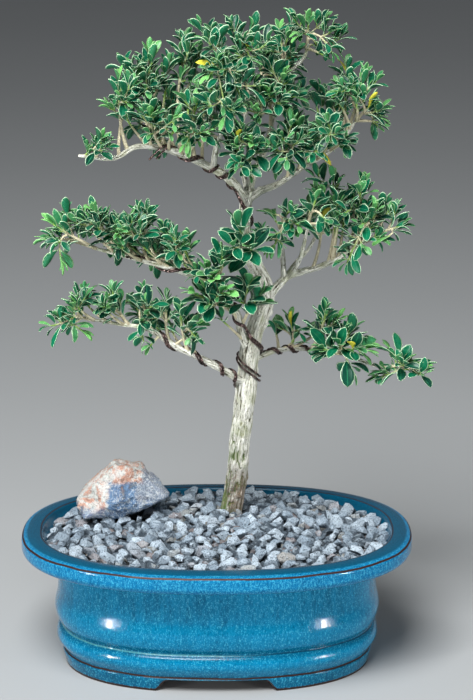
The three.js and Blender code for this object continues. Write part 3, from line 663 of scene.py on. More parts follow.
def places_along(path: Path, shares: Sequence[float], side: Vector | None = None) -> list[Place]:
    """Gives places along a path whose crosswise directions don't twist.

    Args:
        path: the path.
        shares: shares of the way, in order.
        side: the first crosswise direction, or None for the one the source starts with.

    Returns:
        The places.
    """
    side = side or Vector((1.0, 0.0, 0.0))
    made = []
    for t in shares:
        tangent = path.tangent(t)
        if abs(side.dot(tangent)) > 0.95:
            side = Vector((0.0, 1.0, 0.0))
        side = (side - tangent * side.dot(tangent)).normalized()
        made.append(Place(path.at(t), tangent, side, tangent.cross(side), t))
    return made


class Skin:
    """Points, faces and a number at each point, gathered for one mesh."""

    def __init__(self) -> None:
        """Starts empty."""
        self.points: list[Vector] = []
        self.faces: list[Face] = []
        self.marks: list[float] = []

    def add_tube(
        self,
        places: Sequence[Place],
        sides: int,
        radius_at: Callable[[Place, float], float],
        mark_at: Callable[[Place], float] = lambda place: place.t,
    ) -> None:
        """Adds a closed round rod.

        Args:
            places: the places of its rings.
            sides: the number of sides.
            radius_at: the radius at a place and an angle.
            mark_at: the number kept at a place.
        """
        base = len(self.points) + 1
        first, last = places[0], places[-1]
        self.points.append(first.point - first.tangent * radius_at(first, 0.0) * 0.5)
        self.marks.append(mark_at(first))
        for place in places:
            for side in range(sides):
                angle = 2 * math.pi * side / sides
                radius = radius_at(place, angle)
                out = place.side * math.cos(angle) + place.up * math.sin(angle)
                self.points.append(place.point + out * radius)
                self.marks.append(mark_at(place))
        self.points.append(last.point + last.tangent * radius_at(last, 0.0) * 0.6)
        self.marks.append(mark_at(last))
        self.faces += ring_faces(base, len(places), sides)

    def mesh(self, name: str, mark: str) -> Mesh:
        """Makes the mesh, with its numbers as an attribute.

        Args:
            name: the mesh's name.
            mark: the attribute's name.

        Returns:
            The mesh.
        """
        made = make_mesh(name, self.points, self.faces)
        put_mark(made, mark, self.marks)
        return made


# ---- The woody frame, the wires and the sprays, as the part's source has them ----


@dataclass(frozen=True)
class Limb:
    """A limb: how deep its flutes are, and its route with a radius at each point."""

    flutes: float
    route: tuple[Quad, ...]

    @cached_property
    def path(self) -> Spline:
        """The smooth route."""
        return Spline(self.route)

    def radius(self, t: float) -> float:
        """Gives the radius at a share of the way.

        Args:
            t: the share of the way.

        Returns:
            The radius.
        """
        way = t * (len(self.route) - 1)
        step = min(int(way), len(self.route) - 2)
        near, far = self.route[step][3], self.route[step + 1][3]
        return near + (far - near) * (way - step)


@dataclass(frozen=True)
class Leg:
    """A wire's stretch along a limb: two shares of its route, an angle round it and a sweep."""

    limb: str
    start: float
    end: float
    angle: float
    sweep: float


@dataclass(frozen=True)
class Spray:
    """A leafy spray: its limb, how far along it grows, and where its shoots end."""

    limb: str
    at: float
    tips: tuple[Triple, ...]


LIMBS: dict[str, Limb] = {
    "trunk": Limb(0.07, (
        (6, 30, 35, 5.2), (6.2, 29.6, 60, 5.5), (7.3, 28.5, 70.1, 5.6),
        (9.2, 25.5, 81.3, 5.2), (11, 19.5, 94.8, 5.2), (12.1, 11.5, 111.4, 5),
        (14, 6, 128.4, 5), (15.5, 3, 143, 5.2), (17, 4, 161, 4.9), (19, 5, 172, 4.5),
        (22.5, 6, 182, 4.5), (25, 7, 190.5, 4.3), (23.2, 6, 200, 3.7), (19.5, 4, 208, 3.5),
        (16.5, 2, 215, 3.3), (14.3, 2, 224, 3.1), (14.4, 3, 233, 3), (16, 5, 245.5, 2.7),
    )),
    "crown_left": Limb(0, (
        (15.5, 4, 239.5, 2.9), (10, 1, 249, 2.8), (3, -2, 256, 2.5), (-4, -4, 260, 2.3),
        (-19, -8, 267.5, 2), (-39, -10, 271, 1.6), (-50, -12, 265.5, 1.4),
        (-68, -14, 267, 0.9),
    )),
    "crown_left_up": Limb(0, (
        (-1.5, -4, 258.5, 1.8), (0, -7, 269, 1.6), (2.5, -9, 277, 1.4),
        (5.5, -10, 287, 1.3), (10, -10, 294, 1.1), (13.5, -8, 304, 1), (12, -6, 316, 0.8),
    )),
    "crown_centre": Limb(0, (
        (16.2, 5, 243.5, 2.4), (19, 8, 254, 2.1), (25.5, 15, 268, 1.8), (28, 16, 279, 1.6),
        (30, 15, 289, 1.4), (32, 12, 300, 1.2), (44, 8, 313, 1), (46, 6, 320, 0.8),
    )),
    "crown_right": Limb(0, (
        (16, 4, 241.5, 2.3), (22.5, 5, 246, 2.1), (30.5, 6, 249, 1.9), (44, 7, 258, 1.6),
        (54, 6, 264, 1.4), (63, 4, 272, 1.1), (71, 0, 284, 0.8),
    )),
    "crown_back": Limb(0, (
        (15.8, 5, 244, 1.9), (13.5, 16, 256, 1.6), (12, 26, 268, 1.4), (15, 32, 282, 1.1),
        (23, 34, 294, 0.8),
    )),
    "right_mid": Limb(0, (
        (24.6, 7, 188.5, 3.3), (32, 8, 197, 2.7), (36, 9, 200.8, 2.4), (43, 8, 203.5, 2.1),
        (52, 6, 206.5, 1.9), (65, 2, 213.5, 1.5), (76.5, -2, 222, 1.1),
        (82.5, -4, 227, 0.8),
    )),
    "right_mid_up": Limb(0, (
        (34.5, 9, 198.5, 1.8), (34, 7, 209, 1.5), (33, 3, 220, 1.2), (32, 0, 230, 0.8),
    )),
    "right_mid_back": Limb(0, (
        (35, 9, 200, 1.6), (41, 15, 207, 1.4), (47.5, 21, 213, 1.1), (52.5, 26, 221, 0.8),
    )),
    "right_mid_front": Limb(0, (
        (37, 9, 200.5, 1.7), (42, 0, 211, 1.4), (44.5, -9, 223, 1.1), (46, -14, 234, 0.8),
    )),
    "left_mid": Limb(0, (
        (16.8, 4, 162, 2.4), (12.5, -1, 173.5, 2.3), (10.5, -4, 184, 2.2), (2, -8, 196, 2),
        (-7, -9, 203, 1.8), (-26, -8, 209.5, 1.5), (-46.5, -5, 214.5, 1.1),
        (-63.5, -5, 219, 0.8),
    )),
    "left_low": Limb(0, (
        (15.9, 3, 146.5, 2.4), (9.7, -3, 150.6, 2.3), (4.4, -7, 155, 2.2),
        (-5, -10, 161, 2), (-21.5, -13, 170, 1.8), (-35, -12, 178.5, 1.5),
        (-47, -10, 180, 1.1), (-64.5, -10, 183, 0.8),
    )),
    "right_low": Limb(0, (
        (16.8, 5, 156, 1.8), (23, 12, 158, 1.6), (32, 17, 160, 1.5), (42, 20, 160, 1.3),
        (53, 21, 159, 1.2), (64, 20, 158, 1.1), (84, 16, 151.5, 0.9), (93, 14, 152, 0.7),
    )),
}
WIRES: dict[str, tuple[Leg, ...]] = {
    "wire_left_mid": (
        Leg("trunk", 0.478, 0.517, 30, -125),
        Leg("left_mid", 0.2, 0.84, 270, -1440),
    ),
    "wire_low_pair": (
        Leg("left_low", 0.65, 0.16, 18, -1248),
        Leg("trunk", 0.42, 0.431, 200, -190),
        Leg("trunk", 0.433, 0.465, -25, -150),
        Leg("trunk", 0.467, 0.466, -205, -75),
        Leg("right_low", 0.22, 0.57, -60, 1080),
    ),
    "wire_crown_left": (
        Leg("trunk", 0.908, 0.965, 60, -165),
        Leg("crown_left", 0.16, 0.62, 220, -1350),
    ),
}
SPRAYS: dict[str, Spray] = {
    "crown_left_end": Spray("crown_left", 0.95, ((-63, -16, 270), (-55, -20, 277))),
    "crown_left_high": Spray("crown_left", 0.74, (
        (-48, -12, 307), (-41, -6, 312), (-53, -16, 293), (-43, -24, 297),
    )),
    "crown_left_mid": Spray("crown_left", 0.62, ((-31, -8, 319), (-23, -2, 313), (-34, -20, 303))),
    "crown_left_front": Spray("crown_left", 0.56, (
        (-32, -30, 291), (-19, -34, 289), (-40, -2, 280),
    )),
    "crown_left_top": Spray("crown_left", 0.46, ((-14, 8, 325), (-8, 14, 315), (-17, 0, 307))),
    "crown_left_inner": Spray("crown_left", 0.38, (
        (-9, -26, 297), (-5, -30, 282), (-14, -28, 277),
    )),
    "crown_left_rear": Spray("crown_left", 0.52, ((-29, 24, 279), (-21, 30, 293), (-33, 16, 295))),
    "crown_top_left": Spray("crown_left_up", 0.55, (
        (-2, -10, 329), (3, -18, 316), (-4, -24, 310), (12, -26, 300), (6, -30, 287),
    )),
    "crown_top": Spray("crown_left_up", 0.95, (
        (8, -4, 331.5), (15, -12, 322), (22, 4, 327), (18, -16, 314),
    )),
    "crown_mid_front": Spray("crown_centre", 0.42, (
        (26, -20, 299), (20, -22, 290), (34, -14, 308),
    )),
    "crown_mid_top": Spray("crown_centre", 0.72, ((32, 12, 327), (27, 4, 318))),
    "crown_top_right": Spray("crown_centre", 0.96, (
        (46, 6, 332), (51, 8, 319), (59, 2, 316), (41, -2, 326),
    )),
    "crown_right_end": Spray("crown_right", 0.97, ((78, -4, 292), (83, 2, 283), (69, -8, 298))),
    "crown_right_high": Spray("crown_right", 0.84, ((75, 6, 307), (65, 12, 311), (60, -14, 300))),
    "crown_right_front": Spray("crown_right", 0.7, ((64, -16, 275), (55, -20, 285))),
    "crown_right_inner": Spray("crown_right", 0.42, (
        (40, -10, 283), (32, -20, 278), (46, -14, 276), (34, -22, 267),
    )),
    "crown_right_rear": Spray("crown_right", 0.6, ((58, 34, 279), (66, 30, 293), (52, 34, 296))),
    "crown_heart": Spray("crown_centre", 0.1, ((10, -30, 274), (17, -28, 277), (12, -32, 265))),
    "crown_back_left": Spray("crown_back", 0.5, ((-6, 40, 282), (3, 48, 291), (-19, 34, 288))),
    "crown_back_mid": Spray("crown_back", 0.75, ((10, 44, 306), (-1, 36, 305))),
    "crown_back_right": Spray("crown_back", 0.96, (
        (23, 44, 312), (33, 50, 297), (46, 46, 286), (41, 38, 305),
    )),
    "left_mid_end": Spray("left_mid", 0.97, (
        (-84, -10, 233), (-89, 2, 222), (-77, 0, 238), (-80, -8, 212),
    )),
    "left_mid_outer": Spray("left_mid", 0.84, ((-62, -14, 241), (-70, 10, 229))),
    "left_mid_fork": Spray("left_mid", 0.76, ((-53, 14, 227), (-50, -22, 230))),
    "left_mid_high": Spray("left_mid", 0.66, ((-40, -8, 239), (-47, -20, 231), (-35, 6, 232))),
    "left_mid_front": Spray("left_mid", 0.46, ((-28, -14, 232), (-16, -18, 227), (-20, -26, 222))),
    "left_mid_rear": Spray("left_mid", 0.53, ((-34, 14, 215), (-24, 20, 212), (-45, 18, 215))),
    "left_mid_inner": Spray("left_mid", 0.33, ((-6, -24, 214), (3, -32, 222), (-2, -34, 210))),
    "left_mid_low": Spray("left_mid", 0.21, ((-13, -24, 200), (-5, -30, 196), (3, -34, 203))),
    "middle_front": Spray("trunk", 0.8, ((10, -26, 236), (17, -28, 224), (7, -34, 226))),
    "middle_low": Spray("left_mid", 0.14, ((23, -14, 198), (17, -24, 206), (12, -22, 196))),
    "left_low_end": Spray("left_low", 0.97, (
        (-79, -10, 186), (-72, -18, 194), (-67, -6, 197), (-86, -14, 180), (-68, -18, 178),
    )),
    "left_low_outer": Spray("left_low", 0.78, ((-53, -6, 194), (-58, -22, 193), (-46, 4, 189))),
    "left_low_mid": Spray("left_low", 0.66, ((-37, -10, 199), (-32, -20, 193), (-37, -16, 172))),
    "left_low_rear": Spray("left_low", 0.54, ((-25, -4, 194), (-29, 8, 184), (-36, 16, 180))),
    "left_low_inner": Spray("left_low", 0.42, ((-18, -18, 191), (-10, -12, 182), (-10, -20, 177))),
    "right_mid_end": Spray("right_mid", 0.97, ((95, -4, 230), (92, 0, 238), (85, -6, 223))),
    "right_mid_outer": Spray("right_mid", 0.82, (
        (80, -8, 240), (87, 6, 241), (73, -14, 234), (65, -10, 211),
    )),
    "right_mid_high": Spray("right_mid", 0.68, ((75, 2, 252), (69, 10, 245), (64, -14, 240))),
    "right_mid_top": Spray("right_mid", 0.55, ((59, 6, 255), (52, 0, 248), (61, -8, 244))),
    "right_mid_shoot": Spray("right_mid_up", 0.95, (
        (37, -10, 239), (28, 2, 235), (42, -18, 233), (28, -10, 218),
    )),
    "right_mid_back": Spray("right_mid_back", 0.95, ((54, 28, 235), (64, 30, 226), (46, 26, 230))),
    "right_mid_front": Spray("right_mid_front", 0.95, ((50, -14, 246), (55, -24, 236))),
    "right_mid_rear": Spray("right_mid", 0.75, ((74, 22, 236), (81, 18, 228))),
    "right_low_inner": Spray("right_low", 0.33, ((38, 22, 176), (32, 26, 171), (43, 16, 171))),
    "right_low_high": Spray("right_low", 0.45, ((57, 10, 185), (64, 18, 177), (53, 24, 173))),
    "right_low_front": Spray("right_low", 0.62, (
        (63, 4, 166), (54, 6, 163), (70, 14, 172), (77, 6, 163), (70, 10, 152),
    )),
    "right_low_end": Spray("right_low", 0.97, (
        (99, 12, 155), (109, 12, 151), (90, 18, 160), (84, 14, 146),
    )),
}


def bark_radius(limb: Limb, t: float) -> float:
    """Gives the radius that a limb's bark is built at: a little under the rough limb's."""
    return limb.radius(t) * (1.0 if limb is LIMBS["trunk"] else BARK_SHARE)


@dataclass
class Axes:
    """Points of every limb's axis, with the frame, the radius and the length run at each."""

    step: float = 1.2
    rows: list[tuple[Place, float, float, float]] = field(default_factory=list)

    def __post_init__(self) -> None:
        """Samples every limb."""
        for limb in LIMBS.values():
            count = math.ceil(limb.path.length / self.step)
            shares = [i / count for i in range(count + 1)]
            for place in places_along(limb.path, shares):
                t = place.t
                along = float(np.interp(t, np.linspace(0, 1, Path.DIVISIONS + 1), limb.path.lengths))
                radius = bark_radius(limb, t)
                outer = radius * (1 + 2 * limb.flutes * (0.5 if t < 0.3 else 1))
                self.rows.append((place, radius, outer, along))
        self.centres = np.array([place.point for place, *_ in self.rows])
        self.radii = np.array([radius for _, radius, _, _ in self.rows])
        self.outer = np.array([outer for _, _, outer, _ in self.rows])

    def nearest(self, points: np.ndarray) -> np.ndarray:
        """Gives for each point the axis row whose bark is nearest.

        Args:
            points: the points, one in each row.

        Returns:
            The row's number for each point.
        """
        found = np.zeros(len(points), int)
        chunk = 4000
        for first in range(0, len(points), chunk):
            away = points[first : first + chunk, None, :] - self.centres[None]
            found[first : first + chunk] = np.argmin(np.linalg.norm(away, axis=2) - self.radii, axis=1)
        return found

    def pushed_clear(self, point: Vector, room: float) -> Vector:
        """Moves a point until it has some room to every limb's bark.

        Args:
            point: the point.
            room: the room that it needs.

        Returns:
            The point where it has that room.
        """
        moved = np.array(point)
        for _ in range(30):
            away = moved - self.centres
            distance = np.linalg.norm(away, axis=1)
            short = self.outer + room - distance
            worst = int(np.argmax(short))
            if short[worst] <= 0:
                break
            moved = moved + away[worst] / distance[worst] * short[worst]
        return Vector(moved)


@dataclass(frozen=True)
class BarkFinish:
    """Pale, ribbed bark with dark creases, a green bloom and moss at the foot."""

    ridge: str = "#efefe5"
    middle: str = "#afb09c"
    crease: str = "#3f382c"
    bloom: str = "#9aa070"
    moss: str = "#4f6b2c"
    base: str = "#7d6552"

    def make(self) -> Material:
        """Builds the material.

        Returns:
            The material.
        """
        dye = Dye("serissa_bark")
        grain = dye.mark("grain")
        carved = dye.mark("relief", "Fac")
        fibres = dye.noise(dye.stretch(grain, (1.0, 1.0, 0.13)), 1.1, 4.0, 0.62)
        specks = dye.noise(dye.place, 900.0, 3.0, 0.65)
        patches = dye.noise(dye.place, 90.0, 2.0)
        cuts = dye.noise(dye.stretch(grain, (1.0, 1.0, 0.09)), 0.62, 3.0, 0.6, 0.4)
        light = dye.soft(fibres * 0.9 + carved * 0.25 + specks * 0.2, 0.4, 0.72)
        crack = 1 - dye.soft(carved + fibres * 0.3, -0.5, 0.02)
        cut = dye.soft(cuts, 0.455, 0.49) * (1 - dye.soft(cuts, 0.495, 0.53))
        x, _, z = dye.parts(dye.place)
        foot = 1 - dye.soft(z + patches * 0.02 + fibres * 0.012, 0.098, 0.124)
        streaks = dye.soft(fibres + patches * 0.5 + (0.0 - x) * 16 - carved * 0.3, 0.66, 0.86)
        low = 1 - dye.soft(z + patches * 0.03, 0.112, 0.158)
        colour = dye.coats(
            self.middle,
            (light, self.ridge),
            (crack * 0.9, self.crease),
            (cut * 0.46, self.crease),
            (dye.soft(patches, 0.5, 0.66) * 0.4, self.bloom),
            (dye.soft(specks, 0.6, 0.72) * 0.3, self.crease),
            (foot * (0.35 + 0.5 * (1 - light)), self.crease),
            (low * streaks * 0.8, self.moss),
            (foot * dye.soft(specks + x * 20, 0.4, 0.6) * 0.55, self.base),
        )
        relief = fibres * 1.3 + specks * 0.3
        return dye.surface(colour, 0.8 + specks * 0.12, relief, 0.0009, Specular_IOR_Level=0.25)


@dataclass
class Wood:
    """The trunk and its limbs, grown together into one skin that carries the bark's relief."""

    axes: Axes
    grid: float = 0.5
    sides: int = 20
    rings_per_step: int = 7
    rib_pitch: float = 0.6
    rib_stretch: float = 0.12
    swelling: float = 0.12
    swelling_pitch: float = 0.11
    lump: float = 0.05
    lump_pitch: float = 0.4
    knot_spacing: float = 9.0
    knot_reach: Pair = (1.5, 1.4)
    knot_heights: Pair = (0.12, 0.34)
    skin_room: float = 0.1
    thick_limb: float = 3.0
    carving_share: float = 0.11
    most_carving: float = 0.6
    dice: random.Random = field(default_factory=lambda: random.Random(WOOD_SEED))

    def blank(self) -> Object:
        """Makes the limbs as rods and lets them grow together.

        Returns:
            The bare wood.
        """
        skin = Skin()
        for limb in LIMBS.values():
            count = (len(limb.route) - 1) * self.rings_per_step
            knots = self.knots(limb)

            def radius_at(place: Place, angle: float, limb: Limb = limb, knots: list = knots) -> float:
                """Gives the limb's radius with its flutes, a slow swelling and its knots.

                Args:
                    place: a place of the limb's axis.
                    angle: the angle round it.
                    limb: the limb.
                    knots: its knots.

                Returns:
                    The radius.
                """
                flute = 1 + limb.flutes * math.cos(3 * angle + 9 * place.t) * (1 + place.t)
                lump = 1 + self.swelling * noise.noise(place.point * self.swelling_pitch)
                lump += self.lump * noise.noise(place.point * self.lump_pitch)
                radius = bark_radius(limb, place.t)
                for t, turn, height in knots:
                    along = (place.t - t) * limb.path.length / self.knot_reach[0]
                    around = math.remainder(angle - turn, 2 * math.pi) * radius / self.knot_reach[1]
                    lump += height * math.exp(-along * along - around * around)
                return radius * flute * lump + self.skin_room

            places = places_along(limb.path, [i / count for i in range(count + 1)])
            skin.add_tube(places, self.sides, radius_at)
        rods = add_object("rods", skin.mesh("rods", "share"))
        grown = rods.modifiers.new("grown together", "REMESH")
        grown.mode = "VOXEL"
        grown.voxel_size = self.grid * MM
        collars = rods.modifiers.new("collars", "SMOOTH")
        collars.factor = 0.5
        collars.iterations = 3
        return frozen("trunk_and_limbs", rods)

    def knots(self, limb: Limb) -> list[Triple]:
        """Gives a limb's knots, where twigs once were: the share of its way, the angle, the height.

        Args:
            limb: the limb.

        Returns:
            One row for each knot.
        """
        count = round(limb.path.length / self.knot_spacing)
        dice = self.dice
        spots = [(i + dice.uniform(0.2, 0.8)) / count for i in range(count)]
        return [(t, dice.uniform(0, 2 * math.pi), dice.uniform(*self.knot_heights)) for t in spots]

    def relief(self, grain: Vector, girth: float) -> float:
        """Gives the bark's height at a place of its grain, from -1 in a crease to 0.6 on a rib.

        Args:
            grain: the place across and along the grain.
            girth: the limb's radius there.

        Returns:
            The height.
        """
        pitch = self.rib_pitch * (1.0 if girth > self.thick_limb else 1.5)
        where = Vector((grain.x * pitch, grain.y * pitch, grain.z * pitch * self.rib_stretch))
        crease = 1 - soft_share(abs(noise.noise(where)), 0.0, 0.11)
        rib = noise.noise(where * 1.7 + Vector((5.0, 3.0, 1.0)))
        return 0.75 * rib + 0.25 - 0.85 * crease

    def build(self, finish: Material) -> None:
        """Builds the piece and carves its bark.

        Args:
            finish: the bark.
        """
        piece = self.blank()
        mesh = piece.data
        points = mesh_points(mesh)
        rows = self.axes.nearest(points)
        normals = np.zeros_like(points)
        mesh.vertices.foreach_get("normal", normals.ravel())
        grains, reliefs = [], []
        for index, row in enumerate(rows):
            place, radius, _, along = self.axes.rows[row]
            away = Vector(points[index]) - place.point
            grain = Vector((away.dot(place.side), away.dot(place.up), along + away.dot(place.tangent)))
            relief = self.relief(grain, radius)
            grains.append(grain)
            reliefs.append(relief)
            points[index] += normals[index] * relief * min(self.most_carving, self.carving_share * radius)
        put_points(mesh, points)
        put_mark(mesh, "grain", grains, "FLOAT_VECTOR")
        put_mark(mesh, "relief", reliefs)
        mesh.materials.clear()
        mesh.materials.append(finish)
        mesh.shade_smooth()
        settle(piece, Slot.BARK, "trunk")


@dataclass(frozen=True)
class WireFinish:
    """Dark copper-brown training wire, dulled by weather."""

    dark: str = "#241716"
    bright: str = "#7d6560"

    def make(self) -> Material:
        """Builds the material.

        Returns:
            The material.
        """
        dye = Dye("training_wire")
        worn = dye.noise(dye.place, 700.0, 3.0, 0.6)
        colour = dye.blend(dye.soft(worn, 0.35, 0.7), self.dark, self.bright)
        return dye.surface(colour, 0.16 + worn * 0.2, worn, 0.00005, Metallic=0.65, Specular_IOR_Level=0.8)


FREE_ENDS = {"wire_crown_left": 9.0}


@dataclass
class TrainingWire:
    """A training wire: two thin strands that are wound side by side."""

    name: str
    axes: Axes
    radius: float = 0.55
    seat: float = 0.2
    strand_gap: float = 0.8
    free_end: float = 0.0
    end_drop: Triple = (-0.3, -0.2, -0.9)
    step_degrees: float = 19.5
    rings_per_step: int = 3
    sides: int = 8

    def beside(self, limb: Limb, t: float, degrees: float) -> Vector:
        """Gives the point beside a limb at an angle round it, off its bark by the wire's radius.

        Args:
            limb: the limb.
            t: the share of its way.
            degrees: the angle round it.

        Returns:
            The point.
        """
        tangent = limb.path.tangent(t)
        first = Vector((1.0, 0.0, 0.0)) if limb is LIMBS["trunk"] else UP.copy()
        first = (first - tangent * first.dot(tangent)).normalized()
        second = tangent.cross(first)
        angle = math.radians(degrees)
        away = bark_radius(limb, t) + self.radius + self.seat
        return limb.path.at(t) + first * (away * math.cos(angle)) + second * (away * math.sin(angle))

    def strand(self, shift: float) -> Spline:
        """Gives one strand's path, moved along the limbs by a distance.

        Args:
            shift: the distance.

        Returns:
            The path.
        """
        turns = []
        for leg in WIRES[self.name]:
            limb = LIMBS[leg.limb]
            slip = shift / limb.path.length
            count = round(abs(leg.sweep) / self.step_degrees)
            for i in range(count + 1):
                share = i / count
                t = leg.start + (leg.end - leg.start) * share + slip
                point = self.beside(limb, t, leg.angle + leg.sweep * share)
                turns.append(self.axes.pushed_clear(point, self.radius + self.seat))
        if self.free_end:
            leaving = (turns[-1] - turns[-2]).normalized() + Vector(self.end_drop)
            turns.append(turns[-1] + leaving.normalized() * (self.free_end + shift))
        return Spline(turns)

    def build(self, finish: Material) -> None:
        """Builds both strands as one piece.

        Args:
            finish: the wire's finish.
        """
        skin = Skin()
        for shift in (-self.strand_gap, self.strand_gap):
            path = self.strand(shift)
            count = (len(path.points) - 1) * self.rings_per_step
            places = places_along(path, [i / count for i in range(count + 1)])
            skin.add_tube(places, self.sides, lambda place, angle: self.radius)
        piece = add_object(f"{self.name}_strands", skin.mesh(self.name, "share"), finish)
        settle(piece, Slot.WIRE, self.name)


@dataclass(frozen=True)
class LeafFinish:
    """A glossy green leaf with a thin cream margin."""

    dark: str = "#033428"
    green: str = "#076646"
    fresh: str = "#77bd68"
    rib: str = "#2f8a5c"
    under: str = "#2f8058"
    margin: str = "#cbe6c4"
    fresh_margin: str = "#abdc92"
    yellow: str = "#d6cf45"
    margin_share: float = 0.06
    margin_least: float = 0.02

    def make(self) -> Material:
        """Builds the material.

        Returns:
            The material.
        """
        dye = Dye("variegated_leaf")
        _, across, edge = dye.parts(dye.mark("blade"))
        youth, chance, yellow = dye.parts(dye.mark("tint"))
        _, width, _ = dye.parts(dye.mark("size"))
        below = dye.mark("below", "Fac")
        mottle = dye.noise(dye.place, 420.0, 2.0)
        margin = dye.blend(youth, self.margin, self.fresh_margin)
        wander = dye.noise(dye.place, 900.0, 1.0)
        limit = (width * self.margin_share + self.margin_least * MM) * (0.35 + wander + chance * 0.3)
        rim = (1 - dye.soft(edge * width / limit, 0.7, 1.2)) * (1 - youth * 0.4)
        colour = dye.coats(
            self.dark,
            (dye.soft(chance * 0.7 + mottle * 0.5, 0.2, 0.95), self.green),
            (dye.soft(youth + mottle * 0.2, 0.3, 1.1), self.fresh),
            ((1 - dye.soft(across, 0.02, 0.1)) * 0.5, self.rib),
            (below * 0.5, self.under),
            (rim, margin),
            (yellow, self.yellow),
        )
        return dye.surface(colour, 0.22 + mottle * 0.16, mottle, 0.00006, Specular_IOR_Level=0.3)


@dataclass(frozen=True)
class TwigFinish:
    """Thin shoots, grey-cream where they are old and green at their tips."""

    old: str = "#c9c1a4"
    young: str = "#7da04b"
    dark: str = "#7b6d54"

    def make(self) -> Material:
        """Builds the material.

        Returns:
            The material.
        """
        dye = Dye("shoot_bark")
        fresh = dye.mark("share", "Fac")
        flecks = dye.noise(dye.stretch(dye.place, (1.0, 1.0, 0.4)), 1100.0, 3.0, 0.6)
        colour = dye.blend(dye.soft(flecks, 0.5, 0.72) * 0.7, self.old, self.dark)
        colour = dye.blend(dye.soft(fresh, 0.3, 0.8), colour, self.young)
        return dye.surface(colour, 0.75, flecks, 0.00012, Specular_IOR_Level=0.3)


class LeafForm(Enum):
    """The forms a blade takes: its fold along the midrib, the droop of its tip, and its twist."""

    FLAT = (0.10, -0.05, 0.0)
    CUPPED = (0.24, 0.06, 0.05)
    ARCHED = (0.12, -0.2, -0.06)
    TWISTED = (0.16, -0.1, 0.22)
    LIFTED = (0.18, 0.14, -0.12)


@dataclass(frozen=True)
class LeafBlade:
    """One leaf of unit length and width, closed, with a few dozen faces."""

    form: LeafForm
    rows: tuple[Pair, ...] = (
        (0.1, 0.15), (0.28, 0.6), (0.5, 0.96), (0.71, 0.98), (0.89, 0.64),
    )
    thickness: float = 0.035
    arching: float = 0.05
    upper: tuple[float, ...] = (-1.0, -0.62, 0.0, 0.62, 1.0)
    lower: tuple[float, ...] = (-0.5, 0.5)

    def place(self, along: float, across: float, half: float, drop: float) -> Vector:
        """Gives a point of the blade from its shares of length and width.

        Args:
            along: the share of the length.
            across: the share of the half width, with its side's sign.
            half: the outline's half width there.
            drop: how far it lies under the upper face.

        Returns:
            The point.
        """
        fold, droop, twist = self.form.value
        y = 0.5 * half * across
        z = fold * abs(y) * (1.1 - 0.4 * along) + droop * along * along - drop
        z += twist * y * along
        return Vector((along, y, z + self.arching * math.sin(math.pi * along)))

    def mesh(self) -> Mesh:
        """Builds the blade's mesh with its marks.

        Returns:
            The mesh.
        """
        points: list[Vector] = []
        marks: list[Triple] = []
        below: list[float] = []

        def add(along: float, across: float, half: float, under: bool = False) -> int:
            """Adds a point with its marks.

            Args:
                along: the share of the length.
                across: the share of the half width.
                half: the outline's half width there.
                under: whether it lies on the lower face.

            Returns:
                The point's number.
            """
            points.append(self.place(along, across, half, self.thickness if under else 0))
            marks.append((along, abs(across), 0.5 * half * (1 - abs(across))))
            below.append(float(under))
            return len(points) - 1

        add(0, 0, 0)
        tops: list[list[int]] = []
        bottoms: list[list[int]] = []
        for along, half in self.rows:
            top = [add(along, across, half) for across in self.upper]
            tops.append(top)
            bottoms.append([top[0], *(add(along, across, half, True) for across in self.lower), top[-1]])
        tip = add(1, 0, 0)
        faces = []
        for rows, flip in ((tops, False), (bottoms, True)):
            first, last = rows[0], rows[-1]
            strips = len(first) - 1
            for i in range(strips):
                found = [(0, first[i + 1], first[i]), (last[i], last[i + 1], tip)]
                for near, far in zip(rows, rows[1:]):
                    found.append((near[i], near[i + 1], far[i + 1], far[i]))
                faces += [face if flip else face[::-1] for face in found]
        mesh = bpy.data.meshes.new(f"leaf_{self.form.name.lower()}")
        mesh.from_pydata([point.to_tuple() for point in points], [], faces)
        mesh.shade_smooth()
        put_mark(mesh, "blade", marks, "FLOAT_VECTOR")
        put_mark(mesh, "below", below)
        mesh.update()
        return mesh


@dataclass
class Shoot:
    """A shoot: its path, its radii, the length of it that has leaves, its rank and its vigour."""

    path: Bow
    radii: Pair
    leafy: float
    rank: int
    vigorous: bool = False


def leaf_tree() -> NodeTree:
    """Builds the tree that sets leaves on points and joins them to their twigs.

    Returns:
        The tree.
    """
    inputs = {"Leaf shapes": "Collection", "Leaf finish": "Material", "Twigs": "Object"}
    grow = Growth("leaves on shoots", inputs)
    placed = grow.get(
        "GeometryNodeInstanceOnPoints",
        None,
        {
            "Points": grow.given("Geometry"),
            "Instance": grow.shapes("Leaf shapes"),
            "Pick Instance": True,
            "Instance Index": grow.stored("shape", "INT"),
            "Rotation": grow.stored("turn", "FLOAT_VECTOR"),
            "Scale": grow.stored("size", "FLOAT_VECTOR"),
        },
    )
    leaves = grow.made_real(placed, grow.given("Leaf finish"))
    twigs = grow.get("GeometryNodeObjectInfo", None, {"Object": grow.given("Twigs")}, "Geometry")
    return grow.end(twigs, leaves)


@dataclass(frozen=True)
class Habit:
    """How a spray differs from the others: its leaves' scale and width, and its twiglets."""

    scale: float = 1.0
    width: float = 1.0
    twiglet_chance: float = 0.3
    tuft_chance: float = 0.42
    leafy_reach: float = 24.0
    spacing: float = 1.0
    vigour_chance: float = 0.4
    bare_twigs: int = 2


